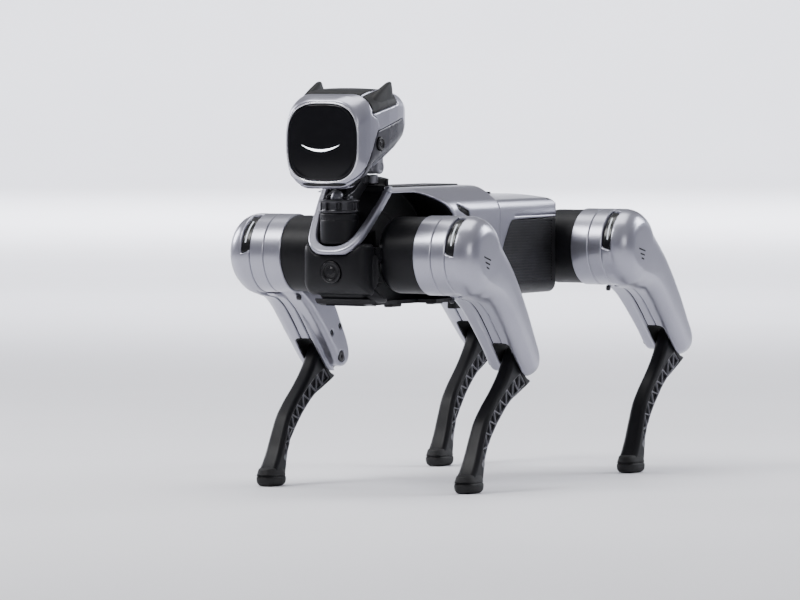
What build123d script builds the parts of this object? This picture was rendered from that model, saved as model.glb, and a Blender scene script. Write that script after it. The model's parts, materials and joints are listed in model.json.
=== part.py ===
from build123d import *
import math
import os

os.makedirs("parts", exist_ok=True)

# Quadruped robot dog, standing. +X is forward, +Y is the robot's left, +Z is up.
# Each leg is a hip drum on a roll shaft, a thigh on a pitch hub and a calf on a knee axle.
# All lengths are in millimetres.

# ---------------------------------------------------------------- driving dimensions
X_SHIFT = 35.5            # moves the trunk so that the overall box is centred on X = 0
HIP_X = 240.0             # hip pitch axis, fore and aft of the trunk centre
HIP_Z = 333.0             # hip axis above the ground
ROLL_Y = 46.0             # hip roll axis, left and right of the centre plane
DRUM_R, DRUM_Y0, DRUM_Y1 = 54.0, 44.0, 106.8
RING_R = 56.0             # hip motor ring and thigh hub ring
RING1_Y0, RING1_Y1 = 106.8, 134.3
RING2_Y0, RING2_Y1 = 134.7, 156.5
CAP_Y0, CAP_Y1 = 156.5, 200.0
THIGH_L, CALF_L = 213.0, 213.0
CALF_Y = 160.0            # middle plane of the calf
CALF_W, FOOT_W = 22.0, 34.0
PHI_F, PHI_R = 44.2, 48.0  # thigh angle behind vertical, front and rear
ANKLE_Z = 16.2
SOLE_T = 14.7             # height of the rubber foot
AXLE_R, BORE_R = 8.0, 8.05
SHAFT_R, SHAFT_BORE = 12.0, 12.05
TOP_Z, REAR_TOP_Z, BELLY_Z = 427.0, 412.0, 265.0
SIDE_Y = 85.0
WALL = 3.0
YAW_X = 313.0             # head turn axis, vertical
PITCH_X, PITCH_Z = 262.0, 457.0  # head nod axis, across
NOD_R = 4.0


# ---------------------------------------------------------------- helpers
def box(x0, x1, y0, y1, z0, z1):
    return Pos((x0 + x1) / 2, (y0 + y1) / 2, (z0 + z1) / 2) * Box(x1 - x0, y1 - y0, z1 - z0)


def cyl(r, a, b):
    a, b = Vector(*a), Vector(*b)
    d = b - a
    return Solid.make_cylinder(r, d.length, Plane(origin=a, z_dir=d.normalized()))


def poly(points, normal, amount):
    f = Face(Wire.make_polygon([Vector(*p) for p in points], close=True))
    return Solid.extrude(f, Vector(*normal) * amount)


def prism_y(xz, y0, y1):
    return poly([(x, y0, z) for x, z in xz], (0, 1, 0), y1 - y0)


def prism_x(yz, x0, x1):
    return poly([(x0, y, z) for y, z in yz], (1, 0, 0), x1 - x0)


def spline_y(xz, y0, y1):
    e = Edge.make_spline([Vector(x, y0, z) for x, z in xz], periodic=True)
    return Solid.extrude(Face(Wire([e])), Vector(0, y1 - y0, 0))


def rounded(shape, edges, r):
    for k in (1.0, 0.8, 0.6, 0.4, 0.2):
        try:
            got = fillet(edges, r * k)
            if got.is_valid and got.volume > 0:
                return got
        except Exception:
            pass
    return shape


def both(shape):
    return shape, mirror(shape, Plane.XZ)


def group(*shapes):
    out = []
    for s in shapes:
        out += list(s.solids())
    return Compound(children=out)


def write(shape, name):
    solids = list(shape.solids())
    moved = [Pos(X_SHIFT, 0, 0) * s for s in solids]
    export_step(moved[0] if len(moved) == 1 else Compound(children=moved), f"parts/{name}.step")


# ---------------------------------------------------------------- leg, in its own frame (hip axis or knee axis at x = z = 0, left side)
def hip_drum(hx):
    d = cyl(DRUM_R, (hx, DRUM_Y0, HIP_Z), (hx, DRUM_Y1, HIP_Z))
    d = rounded(d, d.edges().filter_by(GeomType.CIRCLE).sort_by(Axis.Y)[0], 18)
    s = 1 if hx > 0 else -1
    shaft = cyl(SHAFT_R, (hx - s * 74, ROLL_Y, HIP_Z), (hx + s * 63, ROLL_Y, HIP_Z))
    d = d + shaft
    # motor room, closed by the motor ring's spigot
    d = d - cyl(46, (hx, 60, HIP_Z), (hx, DRUM_Y1 + 1, HIP_Z))
    return d


def hip_ring(hx):
    r = cyl(RING_R, (hx, RING1_Y0, HIP_Z), (hx, RING1_Y1, HIP_Z))
    r = chamfer(r.edges().filter_by(GeomType.CIRCLE), 1.2)
    r = r + cyl(46, (hx, DRUM_Y1 - 6, HIP_Z), (hx, RING1_Y0 + 1, HIP_Z))
    r = r - cyl(42, (hx, 100, HIP_Z), (hx, 127, HIP_Z)) + cyl(22, (hx, 108, HIP_Z), (hx, 128, HIP_Z))
    r = r - cyl(15.05, (hx, 107, HIP_Z), (hx, RING1_Y1 + 1, HIP_Z))
    return r


def thigh_hub():
    r = cyl(RING_R, (0, RING2_Y0, 0), (0, RING2_Y1, 0))
    r = chamfer(r.edges().filter_by(GeomType.CIRCLE), 1.2)
    # oblong drain slot under the ring
    r = r - box(-4, 4, 143.5, 146.5, -60, -52)
    shaft = cyl(15, (0, 114, 0), (0, RING2_Y0 + 1, 0))
    motor = cyl(44, (0, RING2_Y1 - 1, 0), (0, 183, 0))
    motor = chamfer(motor.edges().filter_by(GeomType.CIRCLE).sort_by(Axis.Y)[-1], 3)
    # the motor room is open towards the shell
    return r + shaft + motor - cyl(38, (0, 141, 0), (0, 184, 0))


LIMB = [(0, 10), (-30, 0), (-50, -22), (-52, -60), (-49, -110), (-43, -160), (-36, -200),
        (-32, -216), (-23, -230), (-8, -236.5), (6, -233), (14.5, -222), (16, -206), (15, -170),
        (14, -130), (15, -98), (22, -72), (38, -48), (48, -22), (32, 0)]
INNER = [(26, -50), (20, -72), (14, -100), (9, -140), (7, -180), (9, -206), (9, -222), (2, -232),
         (-10, -235), (-22, -228), (-30, -212), (-35, -190), (-42, -150), (-46, -110), (-48, -75), (-46, -45),
         (-25, -36), (5, -36)]


THIGH_ROOM = [(-38, -64), (-40, -110), (-35, -154), (2, -154), (4, -120), (8, -95), (12, -78), (0, -64)]


def thigh_outer():
    limb = spline_y(LIMB, 163.3, 196.5)
    limb = rounded(limb, limb.edges().sort_by(Axis.Y)[-1], 12)
    cap = cyl(RING_R, (0, CAP_Y0, 0), (0, CAP_Y1, 0))
    cap = rounded(cap, cap.edges().filter_by(GeomType.CIRCLE).sort_by(Axis.Y)[-1], 26)
    s = cap + limb
    s = s - cyl(50, (0, CAP_Y0 - 1, 0), (0, 186, 0))
    # the limb hangs below the hub ring and the knee slot is clear of the calf
    s = s - box(-70, 70, 150, 172.5, -260, -THIGH_L + 50)
    s = s - prism_y(THIGH_ROOM, 160, 189)
    s = s - cyl(AXLE_R, (0, 165, -THIGH_L), (0, 181, -THIGH_L))
    return s


def thigh_inner():
    a = spline_y(INNER, 121, 147.4)
    a = rounded(a, a.edges().sort_by(Axis.Y)[0], 7)
    core = spline_y(LIMB, 147.3, 163.3)
    core = core - box(-70, 70, 140, 170, -260, -THIGH_L + 50)
    wall = prism_y([(-43, -150), (-38.5, -190), (-31, -190), (-34, -150)], 147.3, 163.3)
    s = a + core + wall - prism_y(THIGH_ROOM, 126, 170)
    s = s - cyl(57.4, (0, 100, 0), (0, 170, 0))
    s = s - cyl(AXLE_R, (0, 115, -THIGH_L), (0, 150, -THIGH_L))
    return s


def knee_axle():
    # axle with its head, and the two shell screws beside it
    a = cyl(AXLE_R, (0, 118, -THIGH_L), (0, 180.5, -THIGH_L)) + cyl(11, (0, 117.5, -THIGH_L), (0, 121, -THIGH_L))
    b = cyl(5, (-4, 119, -168), (-4, 121, -168))
    c = cyl(5, (-27, 119, -178), (-27, 121, -178))
    return group(a, b, c)


def calf_outline(y0, y1):
    # front and rear edges of the shin, with the spur behind the knee
    front = [(0, 21), (14, 16), (20.5, 3), (19, -15), (18, -40), (21.5, -72), (27, -102), (29.3, -130), (25, -156),
             (19, -182), (17.5, -204), (23, -240)]
    back = [(-26, -236), (-21, -208), (-11, -190), (-1, -170), (3, -148), (1, -120), (-5, -92), (-15, -62), (-28, -38), (-46, -3)]
    hub = [(-46, -3), (-33, -4), (-24, -3), (-18.5, 9), (0, 21)]
    e = [Edge.make_spline([Vector(x, y0, z) for x, z in front]),
         Edge.make_line((23, y0, -240), (-26, y0, -236)),
         Edge.make_spline([Vector(x, y0, z) for x, z in back]),
         Edge.make_spline([Vector(x, y0, z) for x, z in hub])]
    return Solid.extrude(Face(Wire(e)), Vector(0, y1 - y0, 0))


def truss():
    # triangular pockets between the shin's solid front and its rear edge
    fr = [(-14, -12), (-7, -32), (1, -56), (7, -80), (12, -102), (15.5, -122), (16.5, -142), (10, -166), (3, -186)]
    bk = [(-33, -16), (-24, -36), (-15, -54), (-8, -74), (-3, -94), (1, -114), (2.8, -134), (3.5, -154), (0, -171), (-7, -187)]
    tri = []
    n = len(fr)
    for i in range(n - 1):
        tri.append((fr[i], bk[i + 1], bk[i]))
        tri.append((fr[i], fr[i + 1], bk[i + 1]))
    out = []
    for t in tri:
        cx, cz = sum(p[0] for p in t) / 3, sum(p[1] for p in t) / 3
        # move each side inwards by half a rib
        a, b, c = [math.dist(t[(k + 1) % 3], t[(k + 2) % 3]) for k in range(3)]
        area = abs((t[1][0] - t[0][0]) * (t[2][1] - t[0][1]) - (t[2][0] - t[0][0]) * (t[1][1] - t[0][1])) / 2
        r = 2 * area / (a + b + c)
        if r < 1.9:
            continue
        k = (r - 1.1) / r
        ix = (a * t[0][0] + b * t[1][0] + c * t[2][0]) / (a + b + c)
        iz = (a * t[0][1] + b * t[1][1] + c * t[2][1]) / (a + b + c)
        out.append([(ix + (p[0] - ix) * k, iz + (p[1] - iz) * k) for p in t])
    return out


def calf_local():
    s = calf_outline(CALF_Y - FOOT_W / 2, CALF_Y + FOOT_W / 2)
    w, f = CALF_W / 2, FOOT_W / 2
    side = [(-w, 40), (-w, -140), (-f, -212), (-f, -300), (f, -300), (f, -212), (w, -140), (w, 40)]
    mask = poly([(-80, CALF_Y + y, z) for y, z in side], (1, 0, 0), 160)
    s = s & mask
    s = s - cyl(BORE_R, (0, 120, 0), (0, 200, 0))
    for t in truss():
        s = s - prism_y(t, CALF_Y - w - 10, CALF_Y - w + 5) - prism_y(t, CALF_Y + w - 5, CALF_Y + w + 10)
    return s


def leg(front):
    sx = 1 if front else -1
    hx = sx * HIP_X
    phi = PHI_F if front else PHI_R
    kx = hx - THIGH_L * math.sin(math.radians(phi))
    kz = HIP_Z - THIGH_L * math.cos(math.radians(phi))
    psi = math.degrees(math.acos((kz - ANKLE_Z) / CALF_L))
    ax = kx + CALF_L * math.sin(math.radians(psi))
    at_thigh = Pos(hx, 0, HIP_Z) * Rot(0, phi, 0)
    at_calf = Pos(kx, 0, kz) * Rot(0, -psi, 0)
    calf = (at_calf * CALF_LOCAL) - box(ax - 90, ax + 90, 100, 220, -60, SOLE_T + 0.3)
    foot = box(ax - 23, ax + 27, CALF_Y - 18, CALF_Y + 18, 0, SOLE_T)
    foot = rounded(foot, foot.edges().filter_by(Axis.Z), 9)
    foot = rounded(foot, foot.faces().sort_by(Axis.Z)[0].edges(), 3)
    foot = rounded(foot, foot.faces().sort_by(Axis.Z)[-1].edges(), 1.5)
    return {
        "hip_drum": hip_drum(hx),
        "hip_ring": hip_ring(hx),
        "thigh_hub": at_thigh * THIGH_HUB,
        "thigh_outer_shell": at_thigh * THIGH_OUTER,
        "thigh_inner_shell": at_thigh * THIGH_INNER,
        "knee_axle": group(*[at_thigh * s for s in KNEE_AXLE.solids()]),
        "calf": calf,
        "foot": foot,
    }, (kx, kz)


THIGH_HUB, THIGH_OUTER, THIGH_INNER, KNEE_AXLE, CALF_LOCAL = thigh_hub(), thigh_outer(), thigh_inner(), knee_axle(), calf_local()
for tag, front in (("front", True), ("rear", False)):
    parts, knee = leg(front)
    print(tag, "knee", round(knee[0] + X_SHIFT, 3), round(knee[1], 3))
    for name, shape in parts.items():
        write(shape, f"{tag}_left_{name}")
        write(mirror(shape, Plane.XZ) if len(shape.solids()) == 1 else group(*[mirror(s, Plane.XZ) for s in shape.solids()]),
              f"{tag}_right_{name}")


# ---------------------------------------------------------------- trunk
def section(top, half_top, shoulder_z, side, low, bottom_half, bottom, d=0.0):
    """Half of the trunk's cross-section, moved inwards by d, mirrored to a closed outline."""
    right = [(half_top - d * 0.5, top - d), (78 - d, shoulder_z - d * 0.8), (side - d, shoulder_z - 20 - d * 0.3), (side - d, low + d * 0.3), (bottom_half - d * 0.5, bottom + d)]
    return [(-y, z) for y, z in reversed(right)] + right


def arch(y0, y1, rx=104.0, rz=88.0, cx=218.0, cz=334.0):
    e = Edge.make_ellipse(rx, rz, Plane(origin=(cx, y0, cz), x_dir=(1, 0, 0), z_dir=(0, -1, 0)))
    return Solid.extrude(Face(Wire([e])), Vector(0, y1 - y0, 0))


# slanted plane of the neck opening, in side view
SL0, SL1 = (342.0, 344.0), (262.0, 431.0)
front_cut = [SL0, SL1, (262, 520), (420, 520), (420, 344)]

outer = prism_x(section(TOP_Z, 48, 405, SIDE_Y, 296, 62, BELLY_Z), -0.2, 300)
outer = rounded(outer, outer.edges().filter_by(Axis.X), 11)
inner = prism_x(section(TOP_Z, 48, 405, SIDE_Y, 296, 62, BELLY_Z, WALL), -20, 320)
inner = rounded(inner, inner.edges().filter_by(Axis.X), 8.5)
wing = prism_y([(-30, 376), (-12, 346), (4, 326), (26, 308), (56, 300), (90, 302), (112, 316), (120, 340), (320, 340), (320, 460), (-60, 460), (-60, 376)], -120, 120)
top = (outer - inner) & wing
top = top - prism_y(front_cut, -120, 120)
for y0 in (24, -144):
    top = top - arch(y0, y0 + 120)
top = top - box(257, 400, -46, 46, 300, 500)      # neck opening
top = top - box(10, 232, -30, 30, TOP_Z - 1.1, TOP_Z + 5)  # seat of the flush black inlay
front_top = top.solids().sort_by(SortBy.VOLUME)[-1]
write(front_top, "top_cover")

inlay = box(10.3, 231.7, -29.7, 29.7, TOP_Z - 1.1, TOP_Z + 2.0)
inlay = rounded(inlay, inlay.edges().filter_by(Axis.Z), 12)
inlay = rounded(inlay, inlay.faces().sort_by(Axis.Z)[-1].edges(), 1.5)
write(inlay, "top_inlay")

r_out = prism_x(section(REAR_TOP_Z, 54, 402, SIDE_Y, 296, 62, BELLY_Z), -180, -0.6)
r_out = rounded(r_out, r_out.edges().filter_by(Axis.X), 9)
r_in = prism_x(section(REAR_TOP_Z, 54, 402, SIDE_Y, 296, 62, BELLY_Z, WALL), -200, 20)
r_in = rounded(r_in, r_in.edges().filter_by(Axis.X), 6.5)
rear_top = (r_out - r_in) & prism_y([(-152, 380), (-170, 377), (-178, 386), (-180, 402), (-180, 460), (-0.6, 460), (-0.6, 376), (-150, 376)], -120, 120)
rear_top = rear_top - cyl(8.3, (-120, 0, 380), (-120, 0, 440))
write(rear_top.solids().sort_by(SortBy.VOLUME)[-1], "rear_top_cover")

# ribbed mid housing: a tube round the battery, with fine horizontal fins on both sides
mid = box(-180.5, -0.6, -84, 84, 267.6, 375.4)
mid = rounded(mid, mid.edges().filter_by(Axis.X).group_by(Axis.Z)[0], 14)
mid = mid + (box(-0.7, 111, -79.5, 79.5, 268.2, 372) & prism_y([(-5, 260), (111, 260), (111, 372), (-5, 372)], -90, 90))
mid = mid - box(-176.5, 200, -75, 75, 272.5, 400)
mid = mid - box(-190, -170, -20.5, 20.5, 272.5, 400)
for s in (1, -1):
    mid = mid - cyl(26.5, (-190, s * ROLL_Y, HIP_Z), (-170, s * ROLL_Y, HIP_Z))
for k in range(22):
    z = 285.0 + k * 4.1
    for s in (1, -1):
        y0, y1 = (82.6, 86) if s > 0 else (-86, -82.6)
        mid = mid - box(-170, -1, y0, y1, z, z + 1.7)
write(mid.solids().sort_by(SortBy.VOLUME)[-1], "mid_housing")

battery = box(-108, 60, -62, 62, 273.0, 352)
battery = rounded(battery, battery.edges(), 4)
write(battery, "battery_pack")
computer = box(-95, 60, -60, 60, 358, 370)
computer = computer + box(-60, -10, -40, 40, 370, 380) + box(10, 50, -30, 30, 370, 378)
write(computer, "main_computer")

# chassis: two bulkheads joined by top rails, a spine between each pair of drums, and end plates with roll bearings
frame = box(112, 120, -74, 74, 300, 392) + box(-120, -112, -70, 70, 300, 392)
for s in (1, -1):
    frame = frame + box(-113, 113, s * 67 - 3, s * 67 + 3, 384, 392)
frame = frame + box(-113, 113, -12, 12, 384, 392)
frame = frame + box(119, 299, -19.5, 19.5, 292, 372) + box(-299, -119, -19.5, 19.5, 292, 372)
for s in (1, -1):
    x0, x1 = (298, 304) if s > 0 else (-304, -298)
    frame = frame + box(x0, x1, -46, 46, 311, 355)
    for y in (ROLL_Y, -ROLL_Y):
        frame = frame + cyl(22, (x0, y, HIP_Z), (x1, y, HIP_Z))
    for y in (ROLL_Y, -ROLL_Y):
        frame = frame - cyl(SHAFT_BORE, (x0 - 1, y, HIP_Z), (x1 + 1, y, HIP_Z))
frame = frame - box(140, 280, -30, 30, 312, 352) - box(-280, -140, -30, 30, 312, 352)
write(frame, "chassis_frame")

acts = []
for s in (1, -1):
    for y in (ROLL_Y, -ROLL_Y):
        a = cyl(26, (s * 120, y, HIP_Z), (s * 182, y, HIP_Z))
        a = chamfer(a.edges().filter_by(GeomType.CIRCLE), 2)
        a = a - cyl(SHAFT_BORE, (s * 164, y, HIP_Z), (s * 184, y, HIP_Z))
        acts.append(a)
write(group(*acts), "roll_actuators")

# dark liner of each front wheel well
liners = []
room = prism_x(section(TOP_Z, 48, 405, SIDE_Y, 296, 62, BELLY_Z, WALL + 0.5), 100, 330)
room = room - prism_y([(x - 7.0, z - 6.4) for x, z in front_cut], -120, 120) - box(250, 400, -50, 50, 300, 500)
for s in (1, -1):
    y0, y1 = (20.3, 84) if s > 0 else (-84, -20.3)
    ring = arch(y0, y1, 107.5, 91.0) - arch(y0 - 1, y1 + 1, 104.6, 88.6)
    ring = (ring & room) & box(123, 400, -100, 100, 334, 500)
    ring = ring - box(250, 400, -100, 100, 300, 366)
    liners += list(ring.solids().sort_by(SortBy.VOLUME)[-1:])
write(group(*liners), "hip_well_liner")

# chest: a closed front fascia over the end plate, with a round sensor
def chest_form(d):
    side = [(290, 343.2), (340 - d, 343.2), (339.5 - d, 325), (336 - d, 305), (328 - d * 0.8, 289 + d * 0.6), (314 - d * 0.3, 277 + d), (300, 272.3 + d), (290, 272.3 + d)]
    plan = [(290, -66 + d), (304, -66 + d), (318 - d, -63 + d * 0.8), (331 - d, -53 + d * 0.6), (341 - d, -38), (341 - d, 38), (331 - d, 53 - d * 0.6), (318 - d, 63 - d * 0.8), (304, 66 - d), (290, 66 - d)]
    return prism_y(side, -80, 80) & poly([(x, y, 200) for x, y in plan], (0, 0, 1), 200)


chest = chest_form(0)
chest = rounded(chest, [e for e in chest.edges() if e.center().X > 306 and e.center().Z < 342.5], 6)
chest = chest - (chest_form(3.2) - box(280, 400, -90, 90, 340, 350)) - box(280, 304.3, -90, 90, 200, 400)
chest = chest - box(304, 312, -40, 40, 330, 350)
chest = chest - cyl(13.3, (325, 0, 311), (350, 0, 311))
write(chest.solids().sort_by(SortBy.VOLUME)[-1], "chest_panel")
sensor = cyl(13, (328, 0, 311), (339.2, 0, 311)) - cyl(9.5, (337.6, 0, 311), (345, 0, 311))
sensor = sensor + cyl(6, (337, 0, 311), (338.6, 0, 311))
write(sensor, "chest_sensor")

# collar: U-shaped trim lying on the slanted plane of the neck opening
ux, uz = SL1[0] - SL0[0], SL1[1] - SL0[1]
ul = math.hypot(ux, uz)
ux, uz = ux / ul, uz / ul
nx, nz = uz, -ux
slant = Plane(origin=(SL0[0] - nx * 9, 0, SL0[1] - nz * 9), x_dir=(0, 1, 0), z_dir=(nx, 0, nz))
# local x is +Y; local y is z_dir x x_dir, which climbs the slope


def u_pts(pts):
    return [slant.from_local_coords(Vector(a, b, 0)) for a, b in pts]


def u_face(half):
    pts = half + [(-a, b) for a, b in reversed(half)]
    return pts


oh = [(0, -5.5), (22, -5.5), (36, -2), (43.5, 7), (46.5, 20), (49.5, 45), (52.5, 80), (55, 112)]
ih = [(0, 5), (20, 5), (29, 8), (34, 16), (36, 27), (39, 50), (43, 82), (46.2, 112)]
outer_pts = oh[1:] + list(reversed(ih[1:]))
ring_pts = oh[1:] + list(reversed(ih[1:])) + [(-a, b) for a, b in ih[1:]] + [(-a, b) for a, b in reversed(oh[1:])]
cf = Face(Wire.make_polygon(u_pts(ring_pts), close=True))
collar = Solid.extrude(cf, Vector(nx, 0, nz) * 9)
collar = rounded(collar, [e for e in collar.edges() if (slant.to_local_coords(e.center()).Z > 8.9)], 2.5)
collar = collar - box(200, 400, -70, 70, 200, 343.4)
keep = prism_y([(300, 300), (400, 300), (400, 440), (255, 440), (257.2, 425)], -80, 80)
collar = collar & keep
collar = collar - front_top
write(collar.solids().sort_by(SortBy.VOLUME)[-1], "collar_trim")

# belly pan and its four rubber pads
belly = box(-110, 298, -60, 60, 262, 267.4)
for s in (1, -1):
    belly = belly - poly([(150, s * 36, 255), (200, s * 30, 255), (310, s * 30, 255), (310, s * 90, 255), (140, s * 90, 255), (140, s * 60, 255)], (0, 0, 1), 40)
belly = belly + prism_y([(286, 262), (300, 265), (306, 272), (300, 272), (286, 267.4)], -44, 44)
belly = belly + box(119.9, 298, -19.5, 19.5, 267.3, 292)
belly = belly - box(-200, 112, -61, 61, 267.5, 300)
write(belly.solids().sort_by(SortBy.VOLUME)[-1], "belly_pan")
pads = []
for x in (65, -60):
    for y in (52, -52):
        p = box(x - 18, x + 18, y - 7, y + 7, 251.5, 261.8)
        p = rounded(p, p.edges().filter_by(Axis.Z), 6)
        p = rounded(p, p.faces().sort_by(Axis.Z)[0].edges(), 2)
        pads.append(p)
write(group(*pads), "belly_pads")

# tail housing between and behind the rear drums
tail = prism_y([(-304.4, 300), (-318, 306), (-326, 322), (-328, 345), (-324, 372), (-310, 392), (-290, 401), (-181, 404), (-181, 393.5), (-289, 392.5), (-304.4, 388)], -46, 46)
tail = rounded(tail, [e for e in tail.edges() if abs(abs(e.center().Y) - 46) < 0.1 and e.center().X < -306], 8)
tail = tail - prism_y([(-304, 306), (-315, 310), (-322, 324), (-324, 345), (-320, 370), (-308, 386), (-304, 387)], -42, 42)
tail = tail - box(-340, -310, -22, 22, 334, 350)
tail = tail - box(-300, -170, 41, 60, 384, 410) - box(-300, -170, -60, -41, 384, 410)   # room for the drums as they roll
write(tail.solids().sort_by(SortBy.VOLUME)[-1], "tail_housing")

# power button on the rear top cover
button = cyl(8, (-120, 0, 404), (-120, 0, 414.5))
button = chamfer(button.edges().filter_by(GeomType.CIRCLE).sort_by(Axis.Z)[-1], 0.8)
write(button, "power_button")

# ---------------------------------------------------------------- neck
lid = [(a * (1 - 0.5 / 40), b + 0.5) for a, b in ih[1:]]
lid = lid + [(-a, b) for a, b in reversed(lid)]
back = Face(Wire.make_polygon(u_pts(lid), close=True))
base = Solid.extrude(back, Vector(nx, 0, nz) * 3)                       # floor of the neck opening
base = base - box(240, 304.4, -80, 80, 300, 356)
motor = cyl(27, (YAW_X, 0, 350), (YAW_X, 0, 393))
motor = rounded(motor, motor.edges().filter_by(GeomType.CIRCLE).sort_by(Axis.Z)[-1], 1.5)
motor = motor - box(200, 304.4, -60, 60, 340, 373)
foot_plate = box(238, 260.6, -44, 44, 427.2, 429.6) & cyl(76, (YAW_X, 0, 420), (YAW_X, 0, 440))
riser = box(257.3, 260.6, -40, 40, 416, 429.4)
guard = (cyl(76, (YAW_X, 0, 427.2), (YAW_X, 0, 446)) - cyl(70, (YAW_X, 0, 420), (YAW_X, 0, 450))) & box(230, 263, -46, 46, 420, 450)
neck_base = base + motor + foot_plate + riser + guard
neck_base = neck_base - collar - front_top - box(200, 400, -80, 80, 300, 343.6) - cyl(28.8, (YAW_X, 0, 393.05), (YAW_X, 0, 415))
write(neck_base.solids().sort_by(SortBy.VOLUME)[-1], "neck_base")

turret = cyl(28, (YAW_X, 0, 393.4), (YAW_X, 0, 397)) + cyl(23, (YAW_X, 0, 396), (YAW_X, 0, 410)) + cyl(28, (YAW_X, 0, 408), (YAW_X, 0, 411.5))
for ang in (-60, -25, 10, 45, 100, 140, 180, 220, 260):
    turret = turret + Pos(YAW_X, 0, 402.5) * Rot(0, 0, ang) * Pos(23.5, 0, 0) * Box(7, 9, 12)
turret = turret + cyl(9, (318, 0, 411), (318, 0, 415)) + Pos(318, 0, 415) * Sphere(9)
arm = [(322, 410.5), (290, 410.5), (262, 431.8), (252, 434), (251, 445.5), (272, 445.5), (300, 425), (322, 417)]
for s in (1, -1):
    turret = turret + prism_y(arm, s * 14 - 3.5, s * 14 + 3.5)
turret = turret + box(251, 277, -22, 22, 433.5, 445)
for s in (1, -1):
    turret = turret + cyl(7, (259, s * 24, 433.5), (259, s * 24, 445.9))
turret = turret + box(253, 271, -12, 12, 440, PITCH_Z) + cyl(9, (PITCH_X, -12, PITCH_Z), (PITCH_X, 12, PITCH_Z))
turret = turret - cyl(NOD_R, (PITCH_X, -20, PITCH_Z), (PITCH_X, 20, PITCH_Z))
write(turret, "neck_turret")
nod_axle = cyl(NOD_R, (PITCH_X, -36, PITCH_Z), (PITCH_X, 36, PITCH_Z))
write(nod_axle, "neck_pitch_axle")

# ---------------------------------------------------------------- head
def sec(x, w, z0, z1, r):
    pl = Plane(origin=(x, 0, (z0 + z1) / 2), x_dir=(0, 1, 0), z_dir=(1, 0, 0))
    return pl * RectangleRounded(w, z1 - z0, r)


SECS = [(362.5, 112, 437, 551, 36), (356, 119, 430, 554, 38), (348, 126, 426, 556.5, 36), (337, 131, 437, 558.5, 32), (290, 134, 463, 566, 26), (245, 126, 486, 565, 24), (222, 112, 503, 556, 20)]


def head_loft(grow=0.0):
    return loft([sec(x, w + 2 * grow, z0 - grow, z1 + grow, r + grow) for x, w, z0, z1, r in SECS], ruled=True)


head = head_loft()
split = [(336, 600), (336, 556), (352.5, 424), (352.5, 400)]
front_half = prism_y(split + [(420, 400), (420, 600)], -120, 120)
bezel = head & front_half
bezel = bezel - (Plane(origin=(357.0, 0, 492), x_dir=(0, 1, 0), z_dir=(1, 0, 0)) * extrude(RectangleRounded(111, 108, 34), 10))
bezel = bezel - box(352, 370, -42.5, 42.5, 428, 436.2)
bz = Plane(origin=(335.0, 0, 491), x_dir=(0, 1, 0), z_dir=(1, 0, 0)) * extrude(RectangleRounded(114, 108, 26), 19.5)
bezel = bezel - bz
write(bezel.solids().sort_by(SortBy.VOLUME)[-1], "head_bezel")

screen = Plane(origin=(357.2, 0, 492), x_dir=(0, 1, 0), z_dir=(1, 0, 0)) * extrude(RectangleRounded(110.4, 107.4, 33.7), 6.0)
screen = rounded(screen, screen.faces().sort_by(Axis.X)[-1].edges(), 2.0)
write(screen, "head_screen")
chin = head & box(352.2, 370, -42.2, 42.2, 428.3, 435.9)
write(chin.solids().sort_by(SortBy.VOLUME)[-1], "chin_sensor_bar")

back_half = prism_y([(335.7, 600), (335.7, 556), (352.2, 424), (352.2, 400), (180, 400), (180, 600)], -120, 120)
rear = head & back_half
hollow = loft([sec(353, 112, 442, 543, 24), sec(337, 119, 445, 550, 24), sec(290, 122, 471, 558, 20), sec(245, 114, 494, 557, 18), sec(230, 100, 510, 549, 14)], ruled=True)
rear = rear - hollow
# the yoke's two cheeks pass through the shell's underside
yoke = []
for s in (1, -1):
    y0, y1 = (12.4, 38) if s > 0 else (-38, -12.4)
    c = cyl(10.3, (PITCH_X, y0, PITCH_Z), (PITCH_X, y1, PITCH_Z)) + box(PITCH_X - 8, PITCH_X + 10, y0, y1, PITCH_Z, 486)
    rear = rear - box(PITCH_X - 8, PITCH_X + 10, y0, y1, PITCH_Z, 500)
    b0, b1 = (y0 - 1, 36.5) if s > 0 else (-36.5, y1 + 1)
    c = c - cyl(NOD_R + 0.05, (PITCH_X, b0, PITCH_Z), (PITCH_X, b1, PITCH_Z))
    yoke.append(c.solids().sort_by(SortBy.VOLUME)[-1])
write(group(*yoke), "head_yoke")
rear = rear.solids().sort_by(SortBy.VOLUME)[-1]
write(rear, "head_rear_shell")

skin = head_loft(1.6) - head
topc = skin & box(236, 330, -36, 36, 540, 600)
topc = topc - front_half
write(topc.solids().sort_by(SortBy.VOLUME)[-1], "head_top_cover")

panel_xz = [(333, 512), (252, 528), (240, 526), (238, 508), (246, 498), (262, 489), (300, 472), (336, 451), (344, 456), (340, 480)]
sp = []
for s in (1, -1):
    y0, y1 = (52, 90) if s > 0 else (-90, -52)
    q = (skin & prism_y(panel_xz, y0, y1)) - front_half
    q = q - cyl(9.3, (320, y0, 489), (320, y1, 489))
    sp.append(q.solids().sort_by(SortBy.VOLUME)[-1])
write(group(*sp), "head_side_panels")
cams = []
for s in (1, -1):
    c = cyl(9, (320, s * 60, 489), (320, s * 69.6, 489)) - head
    c = c - cyl(6, (320, s * 68.9, 489), (320, s * 72, 489))
    cams.append(c.solids().sort_by(SortBy.VOLUME)[-1])
write(group(*cams), "head_side_cameras")

ears = []
for s in (1, -1):
    secs = []
    for x, y, z, rx, ry in ((298, 50, 536, 31, 11), (290, 52.5, 552, 23, 8.5), (280.5, 55, 566, 12, 5.5), (272, 56.4, 577, 2.6, 2.0)):
        secs.append(Plane(origin=(x, s * y, z), x_dir=(1, 0, 0), z_dir=(0, 0, 1)) * Ellipse(rx, ry))
    e = loft(secs) - head_loft(1.6)
    ears.append(e.solids().sort_by(SortBy.VOLUME)[-1])
write(group(*ears), "ears")
print("nodes", len([f for f in os.listdir("parts") if f.endswith(".step")]))
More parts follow.
